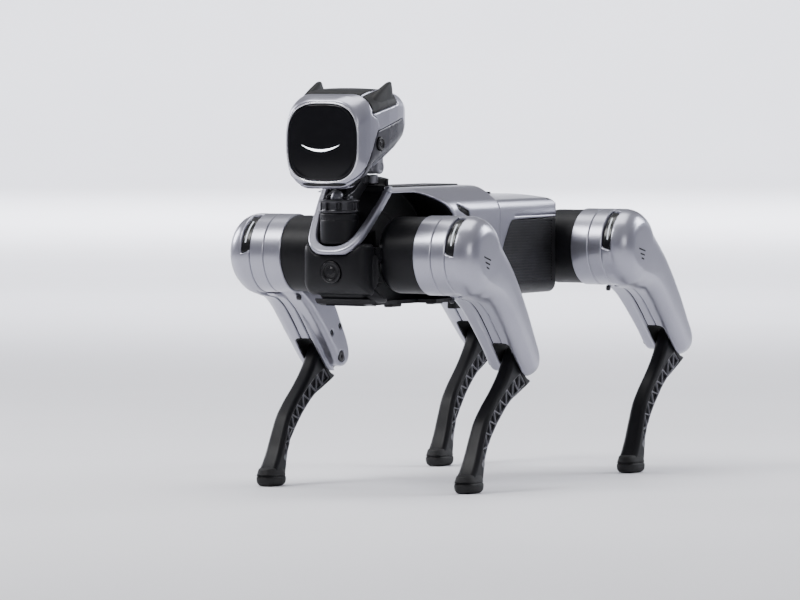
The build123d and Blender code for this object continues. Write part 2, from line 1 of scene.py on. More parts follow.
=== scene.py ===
import bpy
import json
import math
import numpy as np
from mathutils import Vector, Matrix


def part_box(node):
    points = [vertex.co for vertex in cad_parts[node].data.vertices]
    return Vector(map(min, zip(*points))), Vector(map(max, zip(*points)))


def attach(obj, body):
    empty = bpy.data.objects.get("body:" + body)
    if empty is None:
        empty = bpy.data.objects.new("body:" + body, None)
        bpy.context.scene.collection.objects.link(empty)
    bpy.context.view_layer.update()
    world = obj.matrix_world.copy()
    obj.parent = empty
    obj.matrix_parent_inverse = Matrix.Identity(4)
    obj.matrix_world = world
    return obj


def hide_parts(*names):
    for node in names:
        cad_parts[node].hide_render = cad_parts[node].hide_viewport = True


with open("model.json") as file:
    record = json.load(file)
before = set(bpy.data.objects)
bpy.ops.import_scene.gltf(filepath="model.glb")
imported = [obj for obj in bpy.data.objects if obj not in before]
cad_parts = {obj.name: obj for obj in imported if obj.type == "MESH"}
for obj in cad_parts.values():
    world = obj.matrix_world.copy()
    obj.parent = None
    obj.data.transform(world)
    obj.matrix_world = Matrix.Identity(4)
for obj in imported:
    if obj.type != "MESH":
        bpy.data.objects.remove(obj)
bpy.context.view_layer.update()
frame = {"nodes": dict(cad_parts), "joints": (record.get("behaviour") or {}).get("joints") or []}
nodes = frame["nodes"]
joints = {j["name"]: j for j in frame["joints"]}

# Everything below is worked out in millimetres with x = 0 midway between the hips.
lo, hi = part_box("front_left_hip_ring")
lo2, hi2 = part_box("rear_left_hip_ring")
SX = (lo.x + hi.x + lo2.x + hi2.x) / 4 * 1000
HIP_X, HIP_Z = 240.0, 333.0
THIGH_L = 213.0
KNEE = {1: joints["front_left_knee"]["pos_m"], -1: joints["rear_left_knee"]["pos_m"]}
KX = {s: KNEE[s][0] * 1000 - SX for s in KNEE}
KZ = {s: KNEE[s][2] * 1000 for s in KNEE}
PHI = {s: math.atan2(s * HIP_X - KX[s], HIP_Z - KZ[s]) for s in KNEE}
PSI = {s: math.acos((KZ[s] - 16.2) / 213.0) for s in KNEE}
LEGS = [("front_left", 1, 1), ("front_right", 1, -1), ("rear_left", -1, 1), ("rear_right", -1, -1)]


# ---------------------------------------------------------------- distance fields on a grid
class Grid:
    def __init__(self, lo, hi, h):
        self.lo, self.h = np.array(lo, float), h
        self.ax = [np.arange(a, b + h, h) for a, b in zip(lo, hi)]
        self.X, self.Y, self.Z = [g.astype(np.float32) for g in np.meshgrid(*self.ax, indexing="ij")]

    def side(self, pts):
        """distance to a closed outline in the x-z plane"""
        d = outline(self.X[:, 0, :], self.Z[:, 0, :], pts)
        return d[:, None, :]

    def cross(self, pts):
        """distance to a closed outline in the y-z plane"""
        d = outline(self.Y[0], self.Z[0], pts)
        return d[None, :, :]

    def plan(self, pts):
        """distance to a closed outline in the x-y plane"""
        d = outline(self.X[:, :, 0], self.Y[:, :, 0], pts)
        return d[:, :, None]


def outline(px, py, pts):
    pts = np.array(pts, float)
    n = len(pts)
    d = np.full(px.shape, 1e12)
    s = np.ones(px.shape)
    for i in range(n):
        a, b = pts[i], pts[i - 1]
        ex, ey = b - a
        wx, wy = px - a[0], py - a[1]
        t = np.clip((wx * ex + wy * ey) / (ex * ex + ey * ey + 1e-12), 0, 1)
        d = np.minimum(d, (wx - ex * t) ** 2 + (wy - ey * t) ** 2)
        c1, c2, c3 = py >= a[1], py < b[1], ex * wy > ey * wx
        s = np.where((c1 & c2 & c3) | (~c1 & ~c2 & ~c3), -s, s)
    return (s * np.sqrt(d)).astype(np.float32)


def spline(pts, n=6):
    """closed smooth curve through the points"""
    p = np.array(pts, float)
    out = []
    m = len(p)
    for i in range(m):
        a, b, c, d = p[i - 1], p[i], p[(i + 1) % m], p[(i + 2) % m]
        for k in range(n):
            t = k / n
            out.append(0.5 * ((2 * b) + (c - a) * t + (2 * a - 5 * b + 4 * c - d) * t * t + (3 * b - a - 3 * c + d) * t ** 3))
    return np.array(out)


def round_poly(pts, r, n=6):
    """outline with its corners rounded; r is one radius or one per corner"""
    p = np.array(pts, float)
    m = len(p)
    rr = [r] * m if np.isscalar(r) else r
    out = []
    for i in range(m):
        a, b, c = p[i - 1], p[i], p[(i + 1) % m]
        u, v = a - b, c - b
        lu, lv = np.linalg.norm(u), np.linalg.norm(v)
        t = min(rr[i], lu * 0.48, lv * 0.48)
        if t < 0.05:
            out.append(b)
            continue
        p0, p2 = b + u / lu * t, b + v / lv * t
        for k in range(n + 1):
            s = k / n
            out.append((1 - s) ** 2 * p0 + 2 * s * (1 - s) * b + s * s * p2)
    return np.array(out)


def hyp(a, b):
    return np.hypot(np.maximum(a, 0), np.maximum(b, 0))


def meet(a, b, r=0.0):
    """intersection with a rounded edge of radius r"""
    if r <= 0:
        return np.maximum(a, b)
    a, b = a + r, b + r
    return np.minimum(np.maximum(a, b), 0) + hyp(a, b) - r


def cut(a, b, r=0.0):
    return meet(a, -b, r)


def join(a, b, k=0.0):
    if k <= 0:
        return np.minimum(a, b)
    h = np.clip(0.5 + 0.5 * (b - a) / k, 0, 1)
    return b * (1 - h) + a * h - k * h * (1 - h)


def slab(c, a, b):
    return np.maximum(a - c, c - b)


def boxd(g, x0, x1, y0, y1, z0, z1, r=0.0):
    qx, qy, qz = [np.abs(c - (a + b) / 2) - (b - a) / 2 + r for c, a, b in ((g.X, x0, x1), (g.Y, y0, y1), (g.Z, z0, z1))]
    return np.sqrt(np.maximum(qx, 0) ** 2 + np.maximum(qy, 0) ** 2 + np.maximum(qz, 0) ** 2) + np.minimum(np.maximum(qx, np.maximum(qy, qz)), 0) - r


def rod(g, a, b, r, rnd=0.0):
    """cylinder between two points, with rounded rims"""
    a, b = np.array(a, float), np.array(b, float)
    L = np.linalg.norm(b - a)
    u = (b - a) / L
    px, py, pz = g.X - a[0], g.Y - a[1], g.Z - a[2]
    t = px * u[0] + py * u[1] + pz * u[2]
    q = np.sqrt(np.maximum(px * px + py * py + pz * pz - t * t, 0))
    return meet(q - r, np.maximum(-t, t - L), rnd)


def ball(g, c, r, s=(1, 1, 1)):
    return (np.sqrt(((g.X - c[0]) / s[0]) ** 2 + ((g.Y - c[1]) / s[1]) ** 2 + ((g.Z - c[2]) / s[2]) ** 2) - r) * min(s)


def nets(F, lo, h):
    """quads where the field changes sign"""
    F = np.ascontiguousarray(F, dtype=np.float32)
    F = F.copy()
    F[0], F[-1], F[:, 0], F[:, -1], F[:, :, 0], F[:, :, -1] = [np.maximum(x, 0.01) for x in (F[0], F[-1], F[:, 0], F[:, -1], F[:, :, 0], F[:, :, -1])]
    S = F < 0
    nx, ny, nz = F.shape
    c = np.zeros((nx - 1, ny - 1, nz - 1), np.uint8)
    for dx in (0, 1):
        for dy in (0, 1):
            for dz in (0, 1):
                c += S[dx:nx - 1 + dx, dy:ny - 1 + dy, dz:nz - 1 + dz]
    mixed = (c > 0) & (c < 8)
    idx = -np.ones(c.shape, np.int64)
    idx[mixed] = np.arange(mixed.sum())
    cells = np.argwhere(mixed)
    acc = np.zeros((len(cells), 3))
    cnt = np.zeros(len(cells))
    for ax in range(3):
        e = np.zeros(3, int)
        e[ax] = 1
        o1, o2 = [i for i in range(3) if i != ax]
        for u in (0, 1):
            for v in (0, 1):
                off = np.zeros(3, int)
                off[o1], off[o2] = u, v
                p0 = cells + off
                p1 = p0 + e
                f0, f1 = F[tuple(p0.T)], F[tuple(p1.T)]
                m = (f0 < 0) != (f1 < 0)
                t = np.where(m, f0 / np.where(m, f0 - f1, 1), 0)
                pos = p0 + t[:, None] * e
                acc[m] += pos[m]
                cnt[m] += 1
    V = acc / cnt[:, None] * h + lo
    quads = []
    for ax in range(3):
        o1, o2 = [i for i in range(3) if i != ax]
        sl0, sl1 = [slice(1, -1)] * 3, [slice(1, -1)] * 3
        sl0[ax], sl1[ax] = slice(0, -1), slice(1, None)
        A, B = S[tuple(sl0)], S[tuple(sl1)]
        w = np.argwhere(A != B)
        inside_first = A[tuple(w.T)]
        base = w.copy()
        base[:, o1] += 1
        base[:, o2] += 1
        q = []
        for u, v in ((-1, -1), (0, -1), (0, 0), (-1, 0)):
            p = base.copy()
            p[:, o1] += u
            p[:, o2] += v
            q.append(idx[tuple(p.T)])
        q = np.stack(q, 1)
        flip = inside_first if ax != 1 else ~inside_first
        q[~flip] = q[~flip][:, ::-1]
        quads.append(q)
    return V, np.concatenate(quads)


def add_mesh(name, V, Q, mat, body, replaces=(), mirror=False, xform=None, keep=None):
    """V in millimetres in the hips frame"""
    V = np.array(V, float)
    if xform is not None:
        V = xform(V)
    if mirror:
        V = V * [1, -1, 1]
        Q = Q[:, ::-1]
    V = (V + [SX, 0, 0]) / 1000
    me = bpy.data.meshes.new(name)
    me.from_pydata(V.tolist(), [], Q.tolist())
    me.polygons.foreach_set("use_smooth", np.ones(len(me.polygons), bool))
    me.update()
    ob = bpy.data.objects.new(name, me)
    bpy.context.scene.collection.objects.link(ob)
    for m in (mat if isinstance(mat, (list, tuple)) else [mat]):
        ob.data.materials.append(m)
    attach(ob, body)
    if replaces:
        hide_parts(*replaces)
    return ob


def relax(V, Q, n=4):
    """takes the grid's ripple out of a mesh without shrinking it"""
    m = len(V)
    a = Q.ravel()
    b = Q[:, [1, 2, 3, 0]].ravel()
    deg = np.bincount(a, minlength=m) + np.bincount(b, minlength=m)
    deg = np.maximum(deg, 1)[:, None]
    W = V.copy()
    for k in range(n):
        for f in (0.52, -0.545):
            S = np.empty_like(W)
            for c in range(3):
                S[:, c] = np.bincount(a, W[b, c], m) + np.bincount(b, W[a, c], m)
            W = W + f * (S / deg - W)
    return W


def solidify(F, g, n=4):
    V, Q = tidy(*nets(F, g.lo, g.h))
    return relax(V, Q, n), Q


def piece(name, g, F, mat, body, replaces=(), both=False, xform=None):
    V, Q = solidify(F, g)
    return add_mesh(name, V, Q, mat, body, replaces, False, xform)


def tidy(V, Q, least=60):
    """drops specks that are not joined to a real surface"""
    n = len(V)
    lab = np.arange(n)
    for _ in range(400):
        m = lab[Q].min(1)
        new = lab.copy()
        for k in range(4):
            np.minimum.at(new, Q[:, k], m)
        new = new[new]
        if (new == lab).all():
            break
        lab = new
    cnt = np.bincount(lab[Q[:, 0]], minlength=n)
    keep = cnt[lab[Q[:, 0]]] >= least
    Q = Q[keep]
    used = np.zeros(n, bool)
    used[Q.ravel()] = True
    re = np.cumsum(used) - 1
    return V[used], re[Q]


# ---------------------------------------------------------------- materials
def material(name, base, rough, metallic=0.0, coat=0.0, coat_rough=0.1, grain=900.0, grain_bump=0.02, mottle=0.06, rough_var=0.06,
             flake=0.0, tint=None, emission=None, strength=0.0, streak=0.0, spec=0.5, broad=14.0):
    m = bpy.data.materials.new(name)
    m.use_nodes = True
    nt = m.node_tree
    nt.nodes.clear()
    N, L = nt.nodes.new, nt.links.new
    out = N("ShaderNodeOutputMaterial")
    b = N("ShaderNodeBsdfPrincipled")
    L(b.outputs[0], out.inputs[0])
    tc = N("ShaderNodeTexCoord")
    b.inputs["Metallic"].default_value = metallic
    b.inputs["Coat Weight"].default_value = coat
    b.inputs["Coat Roughness"].default_value = coat_rough
    b.inputs["Specular IOR Level"].default_value = spec
    big = N("ShaderNodeTexNoise")
    big.inputs["Scale"].default_value = broad
    big.inputs["Detail"].default_value = 5
    L(tc.outputs["Object"], big.inputs["Vector"])
    fine = N("ShaderNodeTexNoise")
    fine.inputs["Scale"].default_value = grain
    fine.inputs["Detail"].default_value = 3
    L(tc.outputs["Object"], fine.inputs["Vector"])
    ramp = N("ShaderNodeValToRGB")
    dark = [c * (1 - mottle) for c in base]
    light = [min(1, c * (1 + mottle)) for c in (tint or base)]
    ramp.color_ramp.elements[0].position, ramp.color_ramp.elements[1].position = 0.3, 0.7
    ramp.color_ramp.elements[0].color = (*dark, 1)
    ramp.color_ramp.elements[1].color = (*light, 1)
    L(big.outputs["Fac"], ramp.inputs["Fac"])
    colour = ramp.outputs["Color"]
    if flake > 0:
        vor = N("ShaderNodeTexVoronoi")
        vor.inputs["Scale"].default_value = 1500
        L(tc.outputs["Object"], vor.inputs["Vector"])
        bw = N("ShaderNodeRGBToBW")
        L(vor.outputs["Color"], bw.inputs["Color"])
        mp = N("ShaderNodeMapRange")
        mp.inputs["To Min"].default_value = 1 - flake
        mp.inputs["To Max"].default_value = 1 + flake
        L(bw.outputs["Val"], mp.inputs["Value"])
        mul = N("ShaderNodeVectorMath")
        mul.operation = "SCALE"
        L(colour, mul.inputs[0])
        L(mp.outputs["Result"], mul.inputs["Scale"])
        colour = mul.outputs["Vector"]
    L(colour, b.inputs["Base Color"])
    rr = N("ShaderNodeMapRange")
    rr.inputs["From Min"].default_value, rr.inputs["From Max"].default_value = 0.3, 0.7
    rr.inputs["To Min"].default_value, rr.inputs["To Max"].default_value = rough - rough_var, rough + rough_var
    smear = N("ShaderNodeTexNoise")
    smear.inputs["Scale"].default_value = broad * 2.3
    smear.inputs["Detail"].default_value = 6
    if streak > 0:
        mapn = N("ShaderNodeMapping")
        mapn.inputs["Scale"].default_value = (1, 1, streak)
        L(tc.outputs["Object"], mapn.inputs["Vector"])
        L(mapn.outputs["Vector"], smear.inputs["Vector"])
    else:
        L(tc.outputs["Object"], smear.inputs["Vector"])
    L(smear.outputs["Fac"], rr.inputs["Value"])
    L(rr.outputs["Result"], b.inputs["Roughness"])
    bump = N("ShaderNodeBump")
    bump.inputs["Strength"].default_value = grain_bump
    bump.inputs["Distance"].default_value = 0.0004
    L(fine.outputs["Fac"], bump.inputs["Height"])
    L(bump.outputs["Normal"], b.inputs["Normal"])
    if emission:
        b.inputs["Emission Color"].default_value = (*emission, 1)
        b.inputs["Emission Strength"].default_value = strength
    return m


SILVER = material("silver_paint", (0.335, 0.335, 0.392), 0.29, metallic=0.85, coat=0.25, coat_rough=0.16, grain=3200, grain_bump=0.012, mottle=0.02, rough_var=0.015, flake=0.05, tint=(0.345, 0.345, 0.402))
RIM = material("bright_rim", (0.80, 0.80, 0.84), 0.16, metallic=0.95, grain=2600, grain_bump=0.03, mottle=0.03, rough_var=0.02)
BLACK = material("black_satin", (0.0060, 0.0060, 0.0074), 0.42, grain=1800, grain_bump=0.06, mottle=0.12, rough_var=0.05, spec=0.17)
RIBBED = material("black_ribbed", (0.0065, 0.0065, 0.0075), 0.42, grain=1500, grain_bump=0.12, mottle=0.12, rough_var=0.06, spec=0.35)
INNER = material("black_liner", (0.0045, 0.0045, 0.005), 0.55, grain=1200, grain_bump=0.15, mottle=0.15, spec=0.22)
GLOSS = material("black_gloss", (0.006, 0.006, 0.007), 0.20, grain=1500, grain_bump=0.02, mottle=0.1, rough_var=0.04, spec=0.35)
GLASS = material("black_glass", (0.002, 0.002, 0.003), 0.09, grain=700, grain_bump=0.004, mottle=0.1, rough_var=0.02, spec=0.28)
RUBBER = material("black_rubber", (0.009, 0.009, 0.0095), 0.66, grain=1300, grain_bump=0.35, mottle=0.2, rough_var=0.08, spec=0.35)
GREY = material("grey_plastic", (0.052, 0.052, 0.062), 0.30, coat=0.1, grain=2000, grain_bump=0.08, mottle=0.06, metallic=0.45)
DARKMETAL = material("dark_grey_metal", (0.030, 0.030, 0.034), 0.34, metallic=0.5, grain=2200, grain_bump=0.08, mottle=0.08, spec=0.4)
STEEL = material("dark_steel", (0.025, 0.025, 0.028), 0.32, metallic=0.5, grain=900, grain_bump=0.05, mottle=0.08)
RIB = material("truss_grey", (0.135, 0.135, 0.15), 0.42, metallic=0.2, grain=1800, grain_bump=0.1, mottle=0.08)
BOARD = material("board_green", (0.03, 0.10, 0.05), 0.5, grain=700, grain_bump=0.2, mottle=0.3)
ALU = material("frame_aluminium", (0.5, 0.51, 0.53), 0.35, metallic=0.95, grain=800, grain_bump=0.08, mottle=0.05)
LIGHT = material("light_white", (0.9, 0.93, 1.0), 0.4, emission=(0.93, 0.96, 1.0), strength=4.0, mottle=0.02)
LED = material("light_slim", (0.5, 0.53, 0.6), 0.4, emission=(0.9, 0.95, 1.0), strength=0.9, mottle=0.02)
SMALLGREY = material("trim_light_grey", (0.17, 0.17, 0.19), 0.32, metallic=0.5, grain=2000, grain_bump=0.08, mottle=0.04)


# ---------------------------------------------------------------- legs
LIMB = [(0, 10), (-30, 0), (-50, -22), (-52.5, -60), (-49.5, -110), (-43, -160), (-36.5, -200),
        (-33, -221), (-25, -236), (-10, -243.5), (5, -239.5), (14, -227), (16, -208), (15, -170),
        (14, -130), (15, -98), (22, -72), (38, -48), (48, -22), (32, 0)]
INNERP = [(26, -50), (20, -72), (14, -100), (11, -140), (10, -180), (11, -206), (10, -222), (2, -232),
          (-10, -235), (-22, -228), (-30, -212), (-35, -190), (-42, -150), (-46, -110), (-48, -75), (-46, -45),
          (-25, -36), (5, -36)]
CALF_FRONT = [(0, 21), (14, 16), (20.5, 3), (19, -15), (18, -40), (21.5, -72), (27, -102), (29.3, -130), (25, -156), (19, -182), (16, -204), (16.5, -225), (16.5, -240)]
CALF_BACK = [(-20, -238), (-20, -222), (-18.5, -208), (-11, -190), (-1, -170), (3, -148), (1, -120), (-5, -92), (-15, -62), (-28, -38), (-46, -3), (-33, -4), (-24, -3), (-18.5, 9)]
TR_F = [(-12, -14), (-2, -32), (7, -56), (13.5, -80), (19, -102), (21.5, -122), (20.5, -142), (12.5, -166), (3.5, -186)]
TR_B = [(-33, -16), (-24, -36), (-15, -54), (-8, -74), (-3, -94), (1, -114), (2.8, -134), (3.5, -154), (0, -171), (-7, -187)]


SLOT = (146.4, 173.8, -163)


def thigh_outer():
    g = Grid((-62, 154, -250), (62, 203, 62), 1.3)
    r = np.sqrt(g.X ** 2 + g.Z ** 2)
    limb = g.side(spline(LIMB))
    flat = join(r[:, :1, :] - 56, limb, 13)
    R = np.interp(g.ax[2], [-238, -150, -75, -20], [17, 17, 20, 27])[None, None, :]
    face = np.interp(g.ax[2], [-243, -150, -60, -10], [191, 195.5, 199, 200])[None, None, :]
    face = face - 5.0 * np.exp(np.minimum(flat, 0) / 11.0)
    a, b = flat + R, g.Y - face + R
    d = np.minimum(np.maximum(a, b), 0) + hyp(a, b) - R
    # a soft valley where the limb leaves the cap
    v = np.clip(1 - np.hypot((g.X - 46) / 30, (g.Z + 44) / 30), 0, 1)
    d = d + 5.0 * v * v * np.clip((g.Y - 168) / 20, 0, 1)
    d = meet(d, 156.6 - g.Y, 0.8)
    # outside the hub ring the shell starts at the seam with the core
    d = np.maximum(d, np.minimum(164.1 - g.Y, r - 57.0))
    # slot for the shin
    d = cut(d, boxd(g, -90, 90, 130, SLOT[1], -320, SLOT[2], 7), 1.2)
    # window round the front of the cap
    mid = np.radians(83)
    a = np.arctan2(g.Z, g.X) - mid
    u = np.abs(a * 56 + (g.Y - 164) * 0.35)
    qx, qy = u - 33.0, np.abs(g.Y - 164.2) - 4.0
    arc = hyp(qx, qy) + np.minimum(np.maximum(qx, qy), 0) - 3.0
    win = np.maximum(arc, 52.0 - r)
    shell = cut(d, win, 0.7)
    ob = [("thigh_outer_shell", g, shell, SILVER, "silver_paint", ["thigh_outer_shell"])]
    glass = np.maximum(np.maximum(arc + 0.3, 49.5 - r), r - 53.2)
    ob.append(("hip_window", g, glass, GLOSS, "black_gloss", []))
    g2 = Grid((-40, 159, 20), (50, 171, 60), 0.55)
    r2 = np.sqrt(g2.X ** 2 + g2.Z ** 2)
    a2 = np.arctan2(g2.Z, g2.X) - mid
    y2 = np.abs(g2.Y - 164.6 + a2 * 2.0)
    line = np.hypot(np.maximum(np.abs(a2 * 54 + 2) - 18, 0), y2) - 0.85
    ob.append(("hip_light", g2, np.maximum(np.abs(r2 - 53.3) - 0.8, line), LED, "black_gloss", []))
    # generic mark on the flat of the cap: three short bars
    g3 = Grid((-18, 196, -22), (38, 203, 28), 0.65)
    c, s_ = math.cos(math.radians(-44)), math.sin(math.radians(-44))
    mk = None
    for off, ln, dz in ((-5.6, 10.0, 0.0), (1.2, 7.0, -0.8), (7.6, 4.2, -1.6)):
        p = (g3.X - 11) * c + (g3.Z + 1) * s_ - off
        q = -(g3.X - 11) * s_ + (g3.Z + 1) * c - dz
        m = np.maximum(np.abs(p + q * 0.25) - 1.35, np.abs(q) - ln)
        mk = m if mk is None else np.minimum(mk, m)
    ob.append(("thigh_mark", g3, np.maximum(mk, np.abs(g3.Y - 199.55) - 0.75), INNER, "black_satin", []))
    return ob


def thigh_inner():
    g = Grid((-58, 118, -248), (58, 166, -28), 1.15)
    r = np.sqrt(g.X ** 2 + g.Z ** 2)
    inn = g.side(spline(INNERP))
    a = meet(inn, np.maximum(121 - g.Y, g.Y - 152), 0)
    a = np.maximum(meet(inn, 121 - g.Y, 8), g.Y - 147)
    limb = g.side(spline(LIMB))
    core = meet(limb + 0.9, np.maximum(146 - g.Y, g.Y - 162.7), 0.5)
    cheek = meet(limb + 0.9, np.maximum(141.0 - g.Y, g.Y - 147.6), 1.5)
    cheek = np.maximum(cheek, -limb - 9.0)
    cheek = np.maximum(cheek, np.maximum(g.Z + 96, 4 - g.X))
    d = join(a, core, 1.5)
    d = np.minimum(d, cheek)
    d = cut(d, boxd(g, -90, 90, SLOT[0], 200, -320, SLOT[2], 6), 0.9)
    # groove between the cheek and the core
    groove = np.maximum(np.abs(g.Y - 148.6) - 1.1, -(limb + 3.4))
    d = cut(d, groove, 0.3)
    d = cut(d, r - 57.6, 1.2)
    d = cut(d, rod(g, (0, 110, -THIGH_L), (0, 123.5, -THIGH_L), 8.6), 0.5)
    for x, z in ((-4, -168), (-27, -178), (24, -66)):
        d = cut(d, rod(g, (x, 110, z), (x, 123.0, z), 4.6), 0.4)
    ob = [("thigh_inner_shell", g, d, SILVER, "silver_paint", ["thigh_inner_shell"])]
    g2 = Grid((-40, 117, -228), (36, 126, -58), 0.8)
    hw = None
    for x, z, rr in ((-4, -168, 4.2), (-27, -178, 4.2), (24, -66, 4.2), (0, -THIGH_L, 8.1)):
        s = rod(g2, (x, 121.3, z), (x, 126.5, z), rr, 0.8)
        hexs = np.maximum.reduce([np.abs((g2.X - x) * math.cos(k) + (g2.Z - z) * math.sin(k)) for k in (0, math.pi / 3, 2 * math.pi / 3)]) - min(rr * 0.5, 2.4)
        s = cut(s, np.maximum(hexs, g2.Y - 123.2))
        hw = s if hw is None else np.minimum(hw, s)
    ob.append(("knee_axle_and_screws", g2, hw, STEEL, "dark_steel", ["knee_axle"]))
    g3 = Grid((-56, 143, -247), (22, 176, -156), 0.9)
    lm = g3.side(spline(LIMB))
    big = boxd(g3, -90, 90, SLOT[0] - 0.1, SLOT[1] + 0.1, -320, SLOT[2] + 0.1, 7)
    small = boxd(g3, -90, 90, SLOT[0] + 1.6, SLOT[1] - 1.6, -320, SLOT[2] - 3.0, 5)
    boot = np.maximum(np.maximum(big, -small), lm + 1.6)
    ob.append(("knee_slot_lining", g3, boot, INNER, "black_satin", []))
    # black fill recessed in the seam gaps between the shells: the gaps are real, the black fill is painted shade
    # standing in for the shadow inside them
    g4 = Grid((-56, 145, -240), (52, 167, -30), 1.2)
    lm4 = g4.side(spline(LIMB))
    seam_shade_fill = np.maximum(lm4 + 2.3, np.minimum(slab(g4.Y, 161.6, 165.2), slab(g4.Y, 147.0, 150.2)))
    seam_shade_fill = cut(seam_shade_fill, np.hypot(g4.X, g4.Z) - 58.0)
    seam_shade_fill = np.maximum(seam_shade_fill, -(lm4 + 8.0))
    seam_shade_fill = cut(seam_shade_fill, boxd(g4, -90, 90, SLOT[0], SLOT[1], -320, SLOT[2], 6))
    ob.append(("thigh_seams", g4, seam_shade_fill, INNER, "black_satin", []))
    shaft = rod(g3, (0, 147.2, -THIGH_L), (0, 173.2, -THIGH_L), 7.4, 0.3)
    ob.append(("knee_shaft", g3, shaft, STEEL, "dark_steel", []))
    return ob


def triangles():
    tri = []
    for i in range(len(TR_F) - 1):
        tri.append((TR_F[i], TR_B[i + 1], TR_B[i]))
        tri.append((TR_F[i], TR_F[i + 1], TR_B[i + 1]))
    out = []
    for t in tri:
        t = [np.array(p, float) for p in t]
        a, b, c = [np.linalg.norm(t[(k + 1) % 3] - t[(k + 2) % 3]) for k in range(3)]
        area = abs(np.cross(t[1] - t[0], t[2] - t[0])) / 2
        r = 2 * area / (a + b + c)
        if r < 1.6:
            continue
        ctr = (a * t[0] + b * t[1] + c * t[2]) / (a + b + c)
        out.append([ctr + (p - ctr) * (r - 0.85) / r for p in t])
    return out


def calf():
    g = Grid((-50, 141, -238), (34, 179, 24), 1.1)
    prof = g.side(np.concatenate([spline_open(CALF_FRONT), spline_open(CALF_BACK)]))
    half = np.interp(g.ax[2], [-240, -212, -150, -60, 30], [13.6, 14.2, 12.4, 10.9, 10.4])[None, None, :]
    side = np.abs(g.Y - 160) - half
    d = meet(prof, side, 6.5)
    # the front is ridged: it is thinner at the very front edge above the flare
    region = g.side(round_poly(np.array(TR_F + TR_B[::-1], float), 2))
    pocket = np.maximum(region - 0.3, -(np.abs(g.Y - 160) - half + 4.5))
    body = cut(d, pocket, 0.5)
    body = cut(body, rod(g, (0, 130, 0), (0, 190, 0), 8.2), 0.8)
    disc = np.minimum(rod(g, (0, 149.2, 0), (0, 151.5, 0), 14, 0.8), rod(g, (0, 168.5, 0), (0, 170.8, 0), 14, 0.8))
    body = np.minimum(body, cut(disc, rod(g, (0, 130, 0), (0, 190, 0), 8.2)))
    ob = [("calf", g, body, BLACK, "black_satin", ["calf"])]
    g2 = Grid((-36, 145, -190), (20, 175, -10), 0.9)
    reg2 = g2.side(round_poly(np.array(TR_F + TR_B[::-1], float), 2))
    half2 = np.interp(g2.ax[2], [-240, -212, -150, -60, 30], [13.6, 14.2, 12.4, 10.9, 10.4])[None, None, :]
    web = reg2 - 0.6
    for t in triangles():
        web = np.maximum(web, -g2.side(t))
    y = np.abs(g2.Y - 160)
    web = np.maximum(web, np.maximum(y - half2 + 1.2, -(y - half2 + 5.0)))
    ob.append(("calf_truss", g2, web, RIB, "black_satin", []))
    return ob


def spline_open(pts, n=6):
    p = np.array(pts, float)
    p = np.vstack([2 * p[0] - p[1], p, 2 * p[-1] - p[-2]])
    out = []
    for i in range(1, len(p) - 2):
        a, b, c, d = p[i - 1], p[i], p[i + 1], p[i + 2]
        for k in range(n):
            t = k / n
            out.append(0.5 * ((2 * b) + (c - a) * t + (2 * a - 5 * b + 4 * c - d) * t * t + (3 * b - a - 3 * c + d) * t ** 3))
    out.append(p[-2])
    return np.array(out)


def foot():
    """in a frame with the ankle at x = 0 and the ground at z = 0"""
    g = Grid((-29, 137, -1.5), (33, 183, 40), 0.9)
    k = np.interp(g.ax[2], [0, 2, 5, 10, 16, 22, 28, 34, 40], [-5.2, -2.6, -0.7, 0.0, -0.6, -2.4, -4.4, -5.6, -6.2])[None, None, :]
    plan = g.plan(spline([(25, 151), (27.5, 160), (25, 169), (16, 175), (0, 177.5), (-14, 176), (-21.5, 169), (-23, 160), (-21.5, 151), (-14, 144), (0, 142.5), (16, 145)]))
    body = plan - k
    d = meet(body, np.maximum(0.02 - g.Z, g.Z - 30 + (g.X + 20) * 0.12), 2.0)
    d = cut(d, np.maximum(np.abs(g.Z - 14.6) - 0.8, -body - 1.3), 0.3)
    for x in np.arange(-20, 28, 6.5):
        d = cut(d, boxd(g, x - 0.9, x + 0.9, 130, 190, -5, 2.6))
    return [("foot", g, d, RUBBER, "black_rubber", ["foot"])]


def place(kind, fx):
    """moves a local shape of a front or rear left leg to its place at rest"""
    phi, psi = PHI[fx], PSI[fx]
    hx = fx * HIP_X
    ax = KX[fx] + 213.0 * math.sin(psi)

    def turn(V, a, ox, oz):
        x, z = V[:, 0].copy(), V[:, 2].copy()
        W = V.copy()
        W[:, 0] = x * math.cos(a) + z * math.sin(a) + ox
        W[:, 2] = -x * math.sin(a) + z * math.cos(a) + oz
        return W
    if kind == "thigh":
        return lambda V: turn(V, phi, hx, HIP_Z)
    if kind == "calf":
        def f(V):
            W = turn(V, -psi, KX[fx], KZ[fx])
            W[:, 2] = np.maximum(W[:, 2], 15.2)
            return W
        return f
    return lambda V: V + [ax, 0, 0]


LEG_PIECES = []
for maker, kind in ((thigh_outer, "thigh"), (thigh_inner, "thigh"), (calf, "calf"), (foot, "foot")):
    for name, g, F, mat, slot, rep in maker():
        V, Q = solidify(F, g)
        LEG_PIECES.append((name, kind, V, Q, mat, slot, rep))
for leg, fx, sy in LEGS:
    for name, kind, V, Q, mat, slot, rep in LEG_PIECES:
        body = leg + {"thigh": "_thigh", "calf": "_calf", "foot": "_calf"}[kind]
        add_mesh(f"{leg}_{name}.look", V, Q, mat, body, [f"{leg}_{r}" for r in rep], sy < 0, place(kind, fx))
    for n, m in (("hip_drum", BLACK), ("hip_ring", SILVER), ("thigh_hub", SILVER)):
        ob = nodes[f"{leg}_{n}"]
        ob.data.materials.clear()
        ob.data.materials.append(m)


